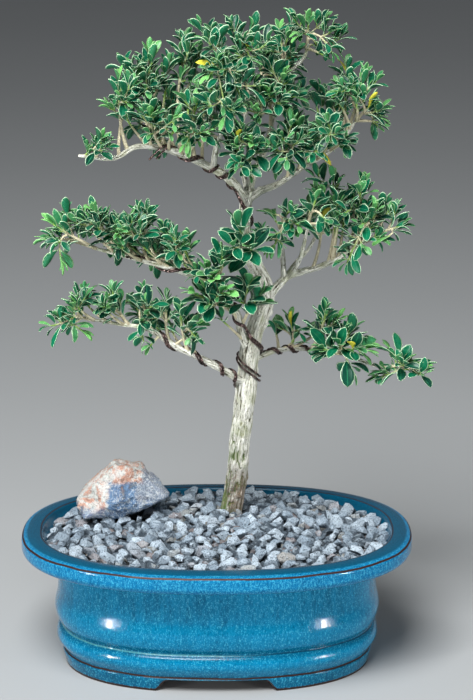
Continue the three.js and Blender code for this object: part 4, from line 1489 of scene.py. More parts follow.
BROAD = Habit(1.68, 1.15, 0.0, 0.06, 14.0, 1.4, 0.0, 0)
LARGE = Habit(1.48, 1.12, 0.05, 0.16, 17.0, 1.2)
MEDIUM = Habit(1.28, 1.1, 0.1, 0.24, 19.0, 1.12)
HABITS = {
    "middle_front": BROAD, "middle_low": BROAD, "left_mid_inner": LARGE, "left_mid_low": LARGE,
    "right_low_front": Habit(1.72, 1.2, 0.1, 0.24, 22.0, 1.15), "right_low_inner": MEDIUM,
    "left_low_inner": MEDIUM, "right_low_high": MEDIUM, "left_low_mid": MEDIUM, "right_mid_front": MEDIUM,
    "right_low_end": Habit(1.3, 1.1, 0.2, 0.3, 34.0, 1.0),
    "crown_left_end": Habit(1.15, 1.0, 0.4, 0.5, 30.0, 0.9),
}
USUAL = Habit(1.28, 1.0, 0.3, 0.4, 24.0, 1.08, 0.52)


@dataclass
class Foliage:
    """One leafy spray, grown from the shoots that the part's source gives it."""

    name: str
    spray: Spray
    dice: random.Random
    low: np.ndarray
    high: np.ndarray
    habit: Habit
    leaf_length: Pair = (7.2, 10.6)
    leaf_width: Pair = (0.33, 0.45)
    growth_pull: float = 10.0
    most_pull: float = 0.1
    yellow_chance: float = 0.004
    ring_step: float = 3.2
    twig_sides: int = 6
    main_radii: Pair = (1.1, 0.36)
    side_radii: Pair = (0.75, 0.34)
    bare_radii: Pair = (0.95, 0.42)
    twiglet_radii: Pair = (0.42, 0.28)
    tuft_radii: Pair = (0.34, 0.28)
    twiglet_lengths: Pair = (6.0, 12.5)
    tuft_lengths: Pair = (2.2, 4.4)
    ages: Triple = (0.0, 0.35, 0.55)
    node_gaps: Quad = (2.2, 3.0, 3.8, 4.4)
    growths: Quad = (0.62, 0.84, 1.0, 1.0)
    young_slants: Quad = (0.26, 0.4, 0.52, 0.7)
    old_slants: Quad = (0.4, 0.76, 0.96, 1.1)
    young_tints: Quad = (1.15, 0.8, 0.45, 0.2)
    old_tints: Quad = (0.6, 0.2, 0.08, 0.03)
    skin: Skin = field(default_factory=Skin)
    leaves: list[dict] = field(default_factory=list)

    def source_shoots(self) -> list[Shoot]:
        """Gives the source's shoots: one to the first tip, and side shoots that leave it in turn.

        Returns:
            The shoots.
        """
        path = LIMBS[self.spray.limb].path
        t = path.share(self.spray.at)
        start = path.at(t)
        tips = [Vector(tip) for tip in self.spray.tips]
        pull = self.growth_pull * (self.habit.scale - 1)
        tips = [tip - (tip - start) * min(pull / (tip - start).length, self.most_pull) for tip in tips]
        reach = tips[0] - start
        leaving = path.tangent(t) * (reach.length * 0.12)
        main = Bow(start, start + reach * 0.4 + leaving, tips[0])
        leafy = min(self.habit.leafy_reach, 0.72 * main.length)
        shoots = [Shoot(main, self.main_radii, leafy, 0, self.is_vigorous())]
        for i in range(1, len(tips)):
            t = main.share(0.3 + 0.45 * i / len(tips))
            fork, tangent = main.at(t), main.tangent(t)
            side = tips[i] - fork
            outward = (side - tangent * side.dot(tangent)).normalized()
            path = Bow(fork, fork + (tangent + outward) * (0.33 * side.length), tips[i])
            leafy = min(self.habit.leafy_reach, 0.8 * side.length)
            shoots.append(Shoot(path, self.side_radii, leafy, 0, self.is_vigorous()))
        return shoots

    def bare_twigs(self) -> list[Shoot]:
        """Gives twigs that rise from the limb beside the spray and are bare up to its leaves.

        Returns:
            The twigs.
        """
        limb = LIMBS[self.spray.limb].path
        found = []
        for number in range(self.habit.bare_twigs):
            share = min(max(self.spray.at + self.dice.uniform(-0.15, 0.1), 0.05), 0.97)
            start = limb.at(limb.share(share))
            tip = Vector(self.spray.tips[(number + 1) % len(self.spray.tips)])
            reach = (tip - start) * self.dice.uniform(0.55, 0.8)
            aside = Vector([self.dice.uniform(-2.5, 2.5) for _ in range(3)])
            handle = start + reach * 0.4 + limb.tangent(limb.share(share)) * 2 + aside
            path = Bow(start, handle, start + reach + aside)
            found.append(Shoot(path, self.bare_radii, min(5.5, 0.4 * reach.length), 0))
        return found

    def is_vigorous(self) -> bool:
        """Decides whether a shoot ends in young, upright leaves."""
        return self.dice.random() < self.habit.vigour_chance

    def grow(self, shoot: Shoot) -> None:
        """Adds a shoot's wood, and then its leaves, tufts and twiglets from the tip backwards.

        Args:
            shoot: the shoot.
        """
        length = shoot.path.length
        count = max(3, round(length / self.ring_step))
        shares = [shoot.path.share(i / count) for i in range(count + 1)]
        places = places_along(shoot.path, shares)

        def radius_at(place: Place, angle: float) -> float:
            """Gives the shoot's taper."""
            return shoot.radii[0] + (shoot.radii[1] - shoot.radii[0]) * place.t

        age = self.ages[shoot.rank]
        self.skin.add_tube(
            places, self.twig_sides, radius_at, lambda place: age + (1 - age) * place.t * place.t
        )
        phase = self.dice.uniform(0, math.pi)
        back, order = 0.5, 0
        while back < shoot.leafy:
            t = shoot.path.share(1 - back / length)
            node = places_along(shoot.path, [t])[0]
            for turn in (phase, phase + math.pi):
                outward = node.side * math.cos(turn) + node.up * math.sin(turn)
                self.fill_node(shoot, node, outward, order)
            phase += math.pi / 2 + self.dice.uniform(-0.3, 0.3)
            back += self.node_gaps[min(order, 3)] * self.habit.spacing * self.dice.uniform(0.85, 1.15)
            order += 1

    def fill_node(self, shoot: Shoot, node: Place, outward: Vector, order: int) -> None:
        """Lets one side of a node carry a twiglet, a tuft or only a leaf.

        Args:
            shoot: the shoot.
            node: the node's place.
            outward: the way out to that side.
            order: the node's number from the tip.
        """
        roll = self.dice.random()
        if shoot.rank == 0 and order > 1 and roll < self.habit.twiglet_chance:
            self.grow(self.twiglet(node, outward, self.dice.uniform(*self.twiglet_lengths), 1))
            return
        if shoot.rank < 2 and order > 0 and roll > 1 - self.habit.tuft_chance:
            self.grow(self.twiglet(node, outward, self.dice.uniform(*self.tuft_lengths), 2))
        self.add_leaf(node, outward, order, shoot)

    def twiglet(self, node: Place, outward: Vector, length: float, rank: int) -> Shoot:
        """Gives a small shoot that leaves a node and turns upwards.

        Args:
            node: the node's place.
            outward: the way out.
            length: its length.
            rank: its rank.

        Returns:
            The twiglet.
        """
        leaving = (node.tangent * 0.7 + outward * 0.8).normalized()
        tip = (leaving + UP * self.dice.uniform(0.05, 0.6) + outward * 0.2).normalized() * length
        path = Bow(node.point, node.point + leaving * (0.5 * length), node.point + tip)
        return Shoot(path, self.twiglet_radii if rank == 1 else self.tuft_radii, 0.86 * length, rank)

    def add_leaf(self, node: Place, outward: Vector, order: int, shoot: Shoot) -> None:
        """Notes one leaf: its place, its turn, its size, its form and its tint.

        Args:
            node: the node's place.
            outward: the way out.
            order: the node's number from the tip.
            shoot: the shoot that carries it.
        """
        dice = self.dice
        point, tangent = node.point, node.tangent
        young = shoot.vigorous and order < 4
        stage = min(order, 3)
        slant = (self.young_slants if young else self.old_slants)[stage] + dice.uniform(-0.16, 0.16)
        along = tangent * math.cos(slant) + outward * math.sin(slant) + UP * 0.16
        along.normalize()
        normal = tangent * 0.5 + UP * 0.85 + Vector([dice.uniform(-0.28, 0.28) for _ in range(3)])
        normal = (normal - along * normal.dot(along)).normalized()
        growth = self.growths[stage] * (0.8 if shoot.rank == 2 else 1.0)
        length = dice.uniform(*self.leaf_length) * growth * self.habit.scale
        tip = np.array(point + along * length)
        if (tip < self.low).any() or (tip > self.high).any():
            return
        across = normal.cross(along)
        turn = Matrix((along, across, normal)).transposed().to_euler("XYZ")
        width = length * dice.uniform(*self.leaf_width) * self.habit.width * (0.82 if young else 1.0)
        youth = (self.young_tints if young else self.old_tints)[stage] * dice.uniform(0.5, 1.1)
        self.leaves.append({
            "point": point + outward * 0.2,
            "turn": tuple(turn),
            "size": (length * MM, width * MM, length * MM),
            "shape": dice.randrange(len(LeafForm)),
            "tint": (youth, dice.random(), float(dice.random() < self.yellow_chance)),
        })

    def build(
        self,
        tree: NodeTree,
        shapes: Collection,
        leaf: Material,
        bark: Material,
    ) -> int:
        """Builds the spray.

        Args:
            tree: the tree that sets leaves on points.
            shapes: the leaf templates.
            leaf: the leaves' finish.
            bark: the twigs' finish.

        Returns:
            How many leaves it has.
        """
        for shoot in self.source_shoots() + self.bare_twigs():
            self.grow(shoot)
        twigs = add_object("twigs", self.skin.mesh("twigs", "share"), bark)
        buds = make_mesh("buds", [leaf_mark["point"] for leaf_mark in self.leaves], [], False)
        for name in ("turn", "size", "tint"):
            put_mark(buds, name, [leaf_mark[name] for leaf_mark in self.leaves], "FLOAT_VECTOR")
        forms = buds.attributes.new("shape", "INT", "POINT")
        forms.data.foreach_set("value", np.array([leaf_mark["shape"] for leaf_mark in self.leaves]))
        source = add_object("buds", buds)
        grower = source.modifiers.new("leaves", "NODES")
        grower.node_group = tree
        set_inputs(grower, {"Leaf shapes": shapes, "Leaf finish": leaf, "Twigs": twigs})
        piece = frozen(f"foliage_{self.name}", source)
        bpy.data.objects.remove(twigs)
        settle(piece, Slot.FOLIAGE, f"spray_{self.name}")
        return len(self.leaves)


@dataclass(frozen=True)
class GlazeFinish:
    """A glossy turquoise glaze, finely speckled downwards, that thins to bare clay on edges, with painted
    highlights on its bulges, painted shade along its groove and a painted dark reflection on the lip's top.
    """

    # deep is the glaze's darker tone, and also the painted shade along the groove.
    deep: str = "#00334a"
    body: str = "#005374"
    # bright is the glaze's cloudy lighter tone, and also the painted highlight on the bulges.
    bright: str = "#006f97"
    speck: str = "#4fbfdc"
    # lip is a painted dark reflection on the lip's top, not the glaze's own tone.
    lip: str = "#00425a"
    band: str = "#005f92"
    clay: str = "#3d2218"
    soot: str = "#1c100c"
    pale: str = "#5a9f9a"

    def make(self, pot: Pot) -> Material:
        """Builds the material around the pot's own lines.

        Args:
            pot: the pot, whose lines the glaze follows.

        Returns:
            The material.
        """
        dye = Dye("turquoise_glaze")
        run = dye.mark("run", "Fac")
        edge = dye.mark("edge", "Fac")
        streaks = dye.noise(dye.stretch(dye.place, (1.0, 1.0, 0.4)), 1250.0, 3.0, 0.6)
        clouds = dye.noise(dye.place, 22.0, 4.0, 0.6)
        specks = dye.noise(dye.place, 1700.0, 2.0, 0.5)
        flow = dye.noise(dye.stretch(dye.place, (1.0, 1.0, 0.2)), 240.0, 3.0, 0.55)
        x, _, _ = dye.parts(dye.place)
        wobble = run + (dye.noise(dye.place, 60.0, 2.0) - 0.5) * 1.2
        at = pot.run_at
        low = 1 - dye.soft(run, at("foot_line"), at("foot_line") + 4)
        # Painted shade: the glaze is laid darker along the groove, where shade falls.
        groove_shade = dye.line(run, at("groove"), 3.4)
        # Painted highlight: the belly and the low bulge are laid brighter, as where light falls on them.
        bulge_highlight = dye.most(dye.line(run, at("belly"), 7.0), dye.line(run, at("low_bulge"), 5.0))
        band = dye.soft(run, at("lip_low") - 2, at("lip_low") + 1)
        dots = dye.soft(streaks * 0.6 + specks * 0.6 + band * 0.03, 0.6, 0.76)
        top = dye.soft(run, at("lip_top") - 0.5, at("lip_top") + 1.0)
        line = dye.line(wobble, at("groove") - 0.4, 0.4)
        side = dye.soft(x, -0.02, 0.03)
        bare = dye.most(
            dye.line(wobble, at("lip_edge"), 0.55),
            dye.line(wobble, at("foot_line"), 0.55),
            dye.line(wobble, at("rim_inner"), 0.45) * 0.75,
            1 - dye.soft(edge + streaks * 0.9, 1.4, 2.0),
        )
        colour = dye.coats(
            self.body,
            (dye.soft(clouds * 0.7 + flow * 0.6, 0.42, 0.8), self.bright),
            (low * 0.45, self.deep),
            (groove_shade * 0.5, self.deep),
            (bulge_highlight * 0.5, self.bright),
            (band * 0.6, self.band),
            (dots * 0.4, self.speck),
            ((1 - dye.soft(streaks, 0.3, 0.46)) * 0.35, self.deep),
            # Painted reflection: the lip's top is laid dark, as if it mirrored a dark room.
            (top * 0.88, self.lip),
            (line * (1 - side) * 0.4, self.pale),
            (line * side * 0.8, self.deep),
            (bare, dye.blend(specks, self.soot, self.clay)),
        )
        relief = (streaks + specks * 0.6) * (1 - bare) + clouds * 4
        return dye.surface(
            colour, 0.1 + bare * 0.4 + specks * 0.08, relief, 0.00007,
            Coat_Weight=0.15, Coat_Roughness=0.04, Specular_IOR_Level=0.15,
        )


@dataclass
class Pot:
    """The oval pot: a lofted wall with a rolled lip, ribs, a foot ring with arches, and drains."""

    length: float = 203.0
    width: float = 157.0
    power: float = 2.35
    sides: int = 320
    floor_top: float = 11.0
    foot_height: float = 7.1
    floor_underside: float = 7.0
    drain_radius: float = 7.0
    rim_top: float = 69.75
    least_inset: float = 0.02
    arch_reach: Quad = (33.0, 28.0, 29.0, 21.0)
    arch_rise: Quad = (-1.0, 0.0, 6.8, 6.8)
    underside: tuple[Pair, ...] = ((30.5, 7.0), (30.0, 3.5), (29.5, 0.0))
    outside: tuple[Pair, ...] = (
        (21.8, 0.0), (20.4, 7.1), (21.0, 7.9), (17.5, 14.2), (18.4, 18.8), (20.1, 20.9), (18.2, 24.2),
        (16.7, 30.0), (18.2, 38.5), (18.3, 48.0), (16.8, 58.5), (8.0, 58.2), (1.6, 59.8), (0.0, 62.5),
        (0.0, 66.5), (0.6, 68.0), (2.6, 69.0), (10.0, 69.7), (12.0, 66.0), (17.0, 60.0), (23.0, 54.0),
        (25.0, 11.0),
    )
    named: dict[str, int] = field(default_factory=lambda: {
        "foot_line": 2, "low_bulge": 3, "groove": 5, "belly": 7,
        "lip_low": 12, "lip_edge": 15, "lip_top": 16, "rim_inner": 17,
    })
    steps: int = 5

    def __post_init__(self) -> None:
        """Smooths the outline and measures the length run along it."""
        spline = Spline([(inset, z, 0.0) for inset, z in self.outside])
        spans = len(self.outside) - 1
        outline = [spline.at(i / (spans * self.steps)) for i in range(spans * self.steps + 1)]
        outline[-1] = Vector((*self.outside[-1], 0.0))
        self.outline = [(max(x, self.least_inset), min(max(z, 0.0), self.rim_top)) for x, z, _ in outline]
        steps = np.linalg.norm(np.diff(np.array(self.outline), axis=0), axis=1)
        self.runs = np.concatenate([[0.0], np.cumsum(steps)])

    def run_at(self, name: str) -> float:
        """Gives the length run from the foot to a named point of the outline."""
        return float(self.runs[self.named[name] * self.steps])

    def oval(self, inset: float, angle: float, z: float) -> Triple:
        """Gives a point of the pot's oval at an inset from the lip's outer curve.

        Args:
            inset: the inset.
            angle: the angle round the pot.
            z: the point's height.

        Returns:
            The point.
        """
        c, s = math.cos(angle), math.sin(angle)
        x = (self.length / 2 - inset) * math.copysign(abs(c) ** (2 / self.power), c)
        y = (self.width / 2 - inset) * math.copysign(abs(s) ** (2 / self.power), s)
        return (x, y, z)

    @cached_property
    def arch_table(self) -> tuple[np.ndarray, np.ndarray]:
        """Distances from the middle and the arch's height there, from its shoulder curve.

        Returns:
            The distances, rising, and the heights.
        """
        s = np.linspace(0, 1, 40)
        weights = ((1 - s) ** 3, 3 * (1 - s) ** 2 * s, 3 * (1 - s) * s**2, s**3)
        x = sum(weight * at for weight, at in zip(weights, self.arch_reach))
        z = sum(weight * at for weight, at in zip(weights, self.arch_rise))
        return x[::-1], z[::-1]

    def arch(self, x: float) -> float:
        """Gives how high the foot's underside is lifted at a place."""
        xs, zs = self.arch_table
        return max(0.0, float(np.interp(abs(x), xs, zs)))

    def lifted(self, inset: float, angle: float, z: float, top: float) -> Triple:
        """Gives a point of the foot, pressed up between the arch and the foot's top.

        Args:
            inset: the inset.
            angle: the angle round the pot.
            z: the height without the arch.
            top: the height that stays as it is.

        Returns:
            The point.
        """
        x, y, _ = self.oval(inset, angle, z)
        rise = self.arch(x)
        if z >= top or rise == 0:
            return (x, y, z)
        return (x, y, rise + z * (top - rise) / top)

    def blank(self) -> Mesh:
        """Lofts the pot, without its drain holes.

        Returns:
            The mesh.
        """
        points: list[Triple] = [(0.0, 0.0, self.floor_underside)]
        rings = [(inset, z, self.floor_underside) for inset, z in self.underside]
        rings += [(27.0, 0.0, self.floor_underside), (24.0, 0.0, self.floor_underside)]
        rings += [(inset, z, self.foot_height) for inset, z in self.outline]
        angles = [2 * math.pi * side / self.sides for side in range(self.sides)]
        for inset, z, top in rings:
            points += [self.lifted(inset, angle, z, top) for angle in angles]
        points.append((0.0, 0.0, self.floor_top))
        return make_mesh("pot", points, ring_faces(1, len(rings), self.sides))

    def insets(self, points: np.ndarray) -> np.ndarray:
        """Gives each point's inset from the lip's outer curve, by halving.

        Args:
            points: the points, one in each row.

        Returns:
            One inset for each point.
        """
        low = np.full(len(points), -2.0)
        high = np.full(len(points), self.width / 2 - 0.01)
        for _ in range(34):
            middle = (low + high) / 2
            share = np.abs(points[:, 0] / (self.length / 2 - middle)) ** self.power
            share += np.abs(points[:, 1] / (self.width / 2 - middle)) ** self.power
            low = np.where(share < 1, middle, low)
            high = np.where(share < 1, high, middle)
        return low

    def mark_runs(self, mesh: Mesh) -> None:
        """Stores the length run along the outline, and the height over the foot's edge.

        Args:
            mesh: the pot's mesh.
        """
        points = mesh_points(mesh)
        flat = np.stack([self.insets(points), points[:, 2]], axis=1)
        away = np.linalg.norm(flat[:, None] - np.array(self.outline)[None], axis=2)
        put_mark(mesh, "run", self.runs[np.argmin(away, axis=1)])
        xs, zs = self.arch_table
        rise = np.maximum(0, np.interp(np.abs(points[:, 0]), xs, zs))
        put_mark(mesh, "edge", np.where(points[:, 2] < self.foot_height, points[:, 2] - rise, 20.0))

    def build(self, finish: Material) -> None:
        """Builds the pot and drills its drains.

        Args:
            finish: the glaze.
        """
        body = add_object("pot_body", self.blank(), finish)
        for end in (-1, 1):
            drill = bmesh.new()
            at = Matrix.Translation(((end * DRAIN_X + POT_OFFSET[0]) * MM, 0, self.floor_top * MM / 2))
            radius = self.drain_radius * MM
            bmesh.ops.create_cone(
                drill, cap_ends=True, segments=40, radius1=radius, radius2=radius,
                depth=2 * self.floor_top * MM, matrix=at,
            )
            mesh = bpy.data.meshes.new("drill")
            drill.to_mesh(mesh)
            drill.free()
            tool = add_object(f"drill_{end}", mesh)
            hole = body.modifiers.new("drain", "BOOLEAN")
            hole.operation = "DIFFERENCE"
            hole.solver = "EXACT"
            hole.object = tool
        piece = frozen("pot_glazed", body)
        for tool in [o for o in bpy.data.objects if o.name.startswith("drill_")]:
            bpy.data.objects.remove(tool)
        self.mark_runs(piece.data)
        settle(piece, Slot.POT, "pot")


@dataclass(frozen=True)
class GravelFinish:
    """Crushed stone: blue-grey chips, some pale, some pinkish, dusty and finely mottled, the lower layer
    painted darker as shade.
    """

    dark: str = "#343d45"
    grey: str = "#8696a4"
    pale: str = "#bbcad6"
    pink: str = "#978985"
    cream: str = "#9b978c"

    def make(self) -> Material:
        """Builds the material.

        Returns:
            The material.
        """
        dye = Dye("gravel_chips")
        first, second, third = dye.parts(dye.mark("tint"))
        grain = dye.noise(dye.place, 1300.0, 3.0, 0.65)
        veins = dye.noise(dye.place, 320.0, 3.0, 0.6, 0.6)
        colour = dye.coats(
            # The lower layer's low first tint keeps its chips dark: painted shade under the upper chips.
            self.dark,
            (dye.soft(first, -0.1, 0.6), self.grey),
            (dye.soft(first, 0.5, 1.0) * 0.9, self.pale),
            (dye.soft(second, 0.88, 0.94) * 0.6, self.pink),
            (dye.soft(third, 0.92, 0.96) * 0.55, self.cream),
            (dye.soft(veins, 0.48, 0.66) * 0.5, self.pale),
            (dye.soft(grain, 0.51, 0.64) * 0.8, self.dark),
        )
        return dye.surface(colour, 0.92, grain + veins, 0.0006, Specular_IOR_Level=0.2)


@dataclass(frozen=True)
class BedFinish:
    """The shadowed fines between the chips."""

    light: str = "#222527"
    dark: str = "#0b0c0d"

    def make(self) -> Material:
        """Builds the material.

        Returns:
            The material.
        """
        dye = Dye("gravel_bed")
        grain = dye.noise(dye.place, 700.0, 4.0, 0.7)
        return dye.surface(dye.blend(grain, self.dark, self.light), 0.95, grain, 0.0006)


def gravel_tree() -> NodeTree:
    """Builds the tree that scatters chips in two layers over a surface.

    Returns:
        The tree.
    """
    grow = Growth(
        "chips on a bed",
        {
            "Chips": "Collection", "Chip finish": "Material", "Bed": "Object", "Chip count": "Int",
            **dict.fromkeys(("Smallest", "Largest", "Tilt", "Lower spacing"), "Float"),
            **dict.fromkeys(("Upper spacing", "Lower level", "Upper level"), "Float"),
        },
    )

    def dice(kind: str, low: Sock | tuple | float, high: Sock | tuple | float, seed: int) -> Sock:
        """Adds a random value, from its kind, its limits and a fixed seed.

        Args:
            kind: the value's kind.
            low: the least value.
            high: the greatest value.
            seed: the seed.

        Returns:
            The value.
        """
        first = {"FLOAT_VECTOR": 0, "FLOAT": 2, "INT": 4}[kind]
        values = {first: low, first + 1: high, 8: seed}
        return grow.get("FunctionNodeRandomValue", {"data_type": kind}, values, first // 2)

    layers = []
    for number, layer in enumerate(("Lower", "Upper")):
        seed = 10 * number
        spread = {
            "Mesh": grow.given("Geometry"),
            "Distance Min": grow.given(f"{layer} spacing"),
            "Density Max": 1.0e6,
            "Seed": 3 + seed,
        }
        method = {"distribute_method": "POISSON"}
        points = grow.get("GeometryNodeDistributePointsOnFaces", method, spread)
        lift = grow.get("ShaderNodeCombineXYZ", None, {"Z": grow.given(f"{layer} level")})
        points = grow.get("GeometryNodeSetPosition", None, {"Geometry": points, "Offset": lift})
        tilt = grow.given("Tilt")
        full = 2 * math.pi
        high = grow.get("ShaderNodeCombineXYZ", None, {"X": tilt, "Y": tilt, "Z": full})
        low = grow.get("ShaderNodeCombineXYZ", None, {"X": 0 - tilt, "Y": 0 - tilt, "Z": 0.0})
        chips = grow.get(
            "GeometryNodeInstanceOnPoints",
            None,
            {
                "Points": points,
                "Instance": grow.shapes("Chips"),
                "Pick Instance": True,
                "Instance Index": dice("INT", 0, grow.given("Chip count"), 4 + seed),
                "Rotation": dice("FLOAT_VECTOR", low, high, 5 + seed),
                "Scale": dice("FLOAT", grow.given("Smallest"), grow.given("Largest"), 6 + seed),
            },
        )
        # Painted shade: the lower layer's first tint number stays low, so its chips come out darker.
        tint = dice("FLOAT_VECTOR", (0.36 * number, 0.0, 0.0), (0.2 + 0.8 * number, 1.0, 1.0), 7 + seed)
        settings = {"data_type": "FLOAT_VECTOR", "domain": "INSTANCE"}
        values = {"Geometry": chips, "Name": "tint", "Value": tint}
        chips = grow.get("GeometryNodeStoreNamedAttribute", settings, values)
        layers.append(grow.made_real(chips, grow.given("Chip finish")))
    bed = grow.get("GeometryNodeObjectInfo", None, {"Object": grow.given("Bed")}, "Geometry")
    return grow.end(bed, *layers)


@dataclass
class Gravel:
    """The gravel: a mounded bed under angular chips that are scattered by a rule."""

    pot: Pot
    dice: random.Random
    bottom: float = 58.3
    crown: float = 71.0
    drop_at_ends: float = 5.2
    drop_at_sides: float = 2.4
    wall_inset: float = 12.0
    edge_inset: float = 13.6
    foot_inset: float = 20.0
    bed_depth: float = 4.2
    trunk_foot: Pair = (7.3, 28.5)
    trunk_room: float = 6.4
    stone_middle: Pair = (-49.5, 20.0)
    stone_reach: Pair = (19.0, 8.0)
    chip_kinds: int = 14
    chip_corners: int = 16
    chip_halves: Triple = (0.42, 0.31, 0.24)
    chip_sizes: Pair = (5.8, 12.4)
    tilt: float = 0.75
    spacings: Pair = (4.7, 7.0)
    levels: Pair = (-3.4, -0.9)
    rings: int = 26
    sides: int = 120

    def height(self, x: float, y: float) -> float:
        """Gives the top of the gravel at a place.

        Args:
            x: the place along the pot.
            y: the place across it.

        Returns:
            The height.
        """
        along = x / (self.pot.length / 2 - self.wall_inset)
        across = y / (self.pot.width / 2 - self.wall_inset)
        return self.crown - self.drop_at_ends * along**2 - self.drop_at_sides * across**2

    def chip(self, number: int) -> Mesh:
        """Makes one angular chip of unit length: the hull of a few points in a flat box.

        Args:
            number: the chip's number.

        Returns:
            The mesh.
        """
        maker = bmesh.new()
        for _ in range(self.chip_corners):
            spot = Vector([self.dice.gauss(0, 1) for _ in range(3)]).normalized()
            spot *= self.dice.uniform(0.9, 1.05) / (0.45 + 0.55 * max(abs(part) for part in spot))
            maker.verts.new([part * half for part, half in zip(spot, self.chip_halves)])
        hull = bmesh.ops.convex_hull(maker, input=maker.verts)
        loose = [item for item in hull["geom_interior"] if isinstance(item, bmesh.types.BMVert)]
        bmesh.ops.delete(maker, geom=loose, context="VERTS")
        bmesh.ops.recalc_face_normals(maker, faces=maker.faces)
        mesh = bpy.data.meshes.new(f"chip_{number}")
        maker.to_mesh(mesh)
        maker.free()
        return mesh

    def ring_mesh(self, name: str, closed: bool) -> Mesh:
        """Makes the bed's top as rings from its edge to the middle, closed underneath if asked.

        Args:
            name: the mesh's name.
            closed: whether it is closed underneath.

        Returns:
            The mesh.
        """
        pot, depth = self.pot, self.bed_depth if closed else 0.0
        points: list[Triple] = []
        if closed:
            points.append((0.0, 0.0, self.bottom))
            for side in range(self.sides):
                points.append(pot.oval(self.foot_inset, 2 * math.pi * side / self.sides, self.bottom))
        for ring in range(self.rings):
            share = 1 - ring / self.rings
            for side in range(self.sides):
                x, y, _ = pot.oval(self.edge_inset, 2 * math.pi * side / self.sides, 0)
                x, y = x * share, y * share
                points.append((x, y, self.height(x, y) - depth))
        points.append((0.0, 0.0, self.height(0, 0) - depth))
        if closed:
            return make_mesh(name, points, ring_faces(1, self.rings + 1, self.sides))
        faces = ring_faces(0, self.rings, self.sides, False)
        return make_mesh(name, points, [face for face in faces if self.is_free(points, face)])

    def is_free(self, points: Sequence[Triple], face: Sequence[int]) -> bool:
        """Tells whether a face of the top lies clear of the trunk and the stone.

        Args:
            points: the top's points.
            face: the face, as its points' numbers.

        Returns:
            Whether it is clear.
        """
        middle = sum((Vector(points[i]) for i in face), Vector()) / len(face)
        trunk = math.hypot(*(at - foot for at, foot in zip(middle, self.trunk_foot)))
        off_stone = zip(middle, self.stone_middle, self.stone_reach)
        stone = math.hypot(*((at - mid) / reach for at, mid, reach in off_stone))
        return trunk > self.trunk_room and stone > 1

    def build(self, finish: Material, bed_finish: Material) -> None:
        """Builds the bed and its chips as one piece.

        Args:
            finish: the chips' finish.
            bed_finish: the bed's finish.
        """
        chips = shape_set("chip", [self.chip(number) for number in range(self.chip_kinds)])
        bed = add_object("bed", self.ring_mesh("bed", True), bed_finish)
        top = add_object("top", self.ring_mesh("top", False))
        grower = top.modifiers.new("chips", "NODES")
        grower.node_group = gravel_tree()
        set_inputs(grower, {
            "Chips": chips, "Chip finish": finish, "Bed": bed, "Chip count": self.chip_kinds - 1,
            "Smallest": self.chip_sizes[0] * MM, "Largest": self.chip_sizes[1] * MM, "Tilt": self.tilt,
            "Lower spacing": self.spacings[0] * MM, "Upper spacing": self.spacings[1] * MM,
            "Lower level": self.levels[0] * MM, "Upper level": self.levels[1] * MM,
        })
        piece = frozen("gravel_dressing", top)
        bpy.data.objects.remove(bed)
        settle(piece, Slot.GRAVEL, "gravel")


@dataclass(frozen=True)
class StoneFinish:
    """Weathered stone: cream and rust veins, one slate-blue face, and grey speckles."""

    cream: str = "#b6b9b4"
    rust: str = "#b98f7c"
    slate: str = "#527497"
    grey: str = "#748396"
    dark: str = "#2b2e36"
    white: str = "#c9ccca"

    def make(self, centre: Vector) -> Material:
        """Builds the material around the stone's centre.

        Args:
            centre: the stone's centre, in metres.

        Returns:
            The material.
        """
        dye = Dye("accent_stone")
        crags = dye.noise(dye.place, 120.0, 6.0, 0.7, 0.8)
        veins = dye.noise(dye.place, 85.0, 4.0, 0.65, 2.6)
        grain = dye.noise(dye.place, 1300.0, 3.0, 0.75)
        x, y, z = (part - at for part, at in zip(dye.parts(dye.place), centre))
        right = dye.soft(x * 55 - z * 42 + crags * 1.3, 0.62, 0.9)
        low = 1 - dye.soft(z * 90 + crags * 1.2 - x * 10, 0.0, 0.42)
        face = dye.most(dye.math("ABSOLUTE", x + 0.0005), dye.math("ABSOLUTE", z - 0.001) * 1.1)
        face = face + (crags - 0.5) * 0.008 + (veins - 0.5) * 0.006
        near = (1 - dye.soft(face, 0.0062, 0.0088)) * (1 - dye.soft(y, -0.004, 0.002))
        threads = dye.line(dye.noise(dye.place, 130.0, 4.0, 0.6, 1.5), 0.5, 0.016)
        colour = dye.coats(
            self.cream,
            (dye.soft(veins, 0.42, 0.56), self.rust),
            (dye.soft(crags, 0.46, 0.62) * 0.8, self.white),
            (right * 0.9, self.grey),
            (low * 0.8, self.slate),
            (near * dye.soft(crags, 0.28, 0.38) * 0.94, self.slate),
            (threads * 0.6, self.white),
            (dye.soft(grain, 0.5, 0.66) * right * 0.7, self.white),
            ((1 - dye.soft(grain, 0.36, 0.5)) * 0.55, self.dark),
            ((1 - dye.soft(crags, 0.34, 0.45)) * 0.6, self.dark),
        )
        return dye.surface(colour, 0.9, crags + grain * 0.3, 0.0016, Specular_IOR_Level=0.25)


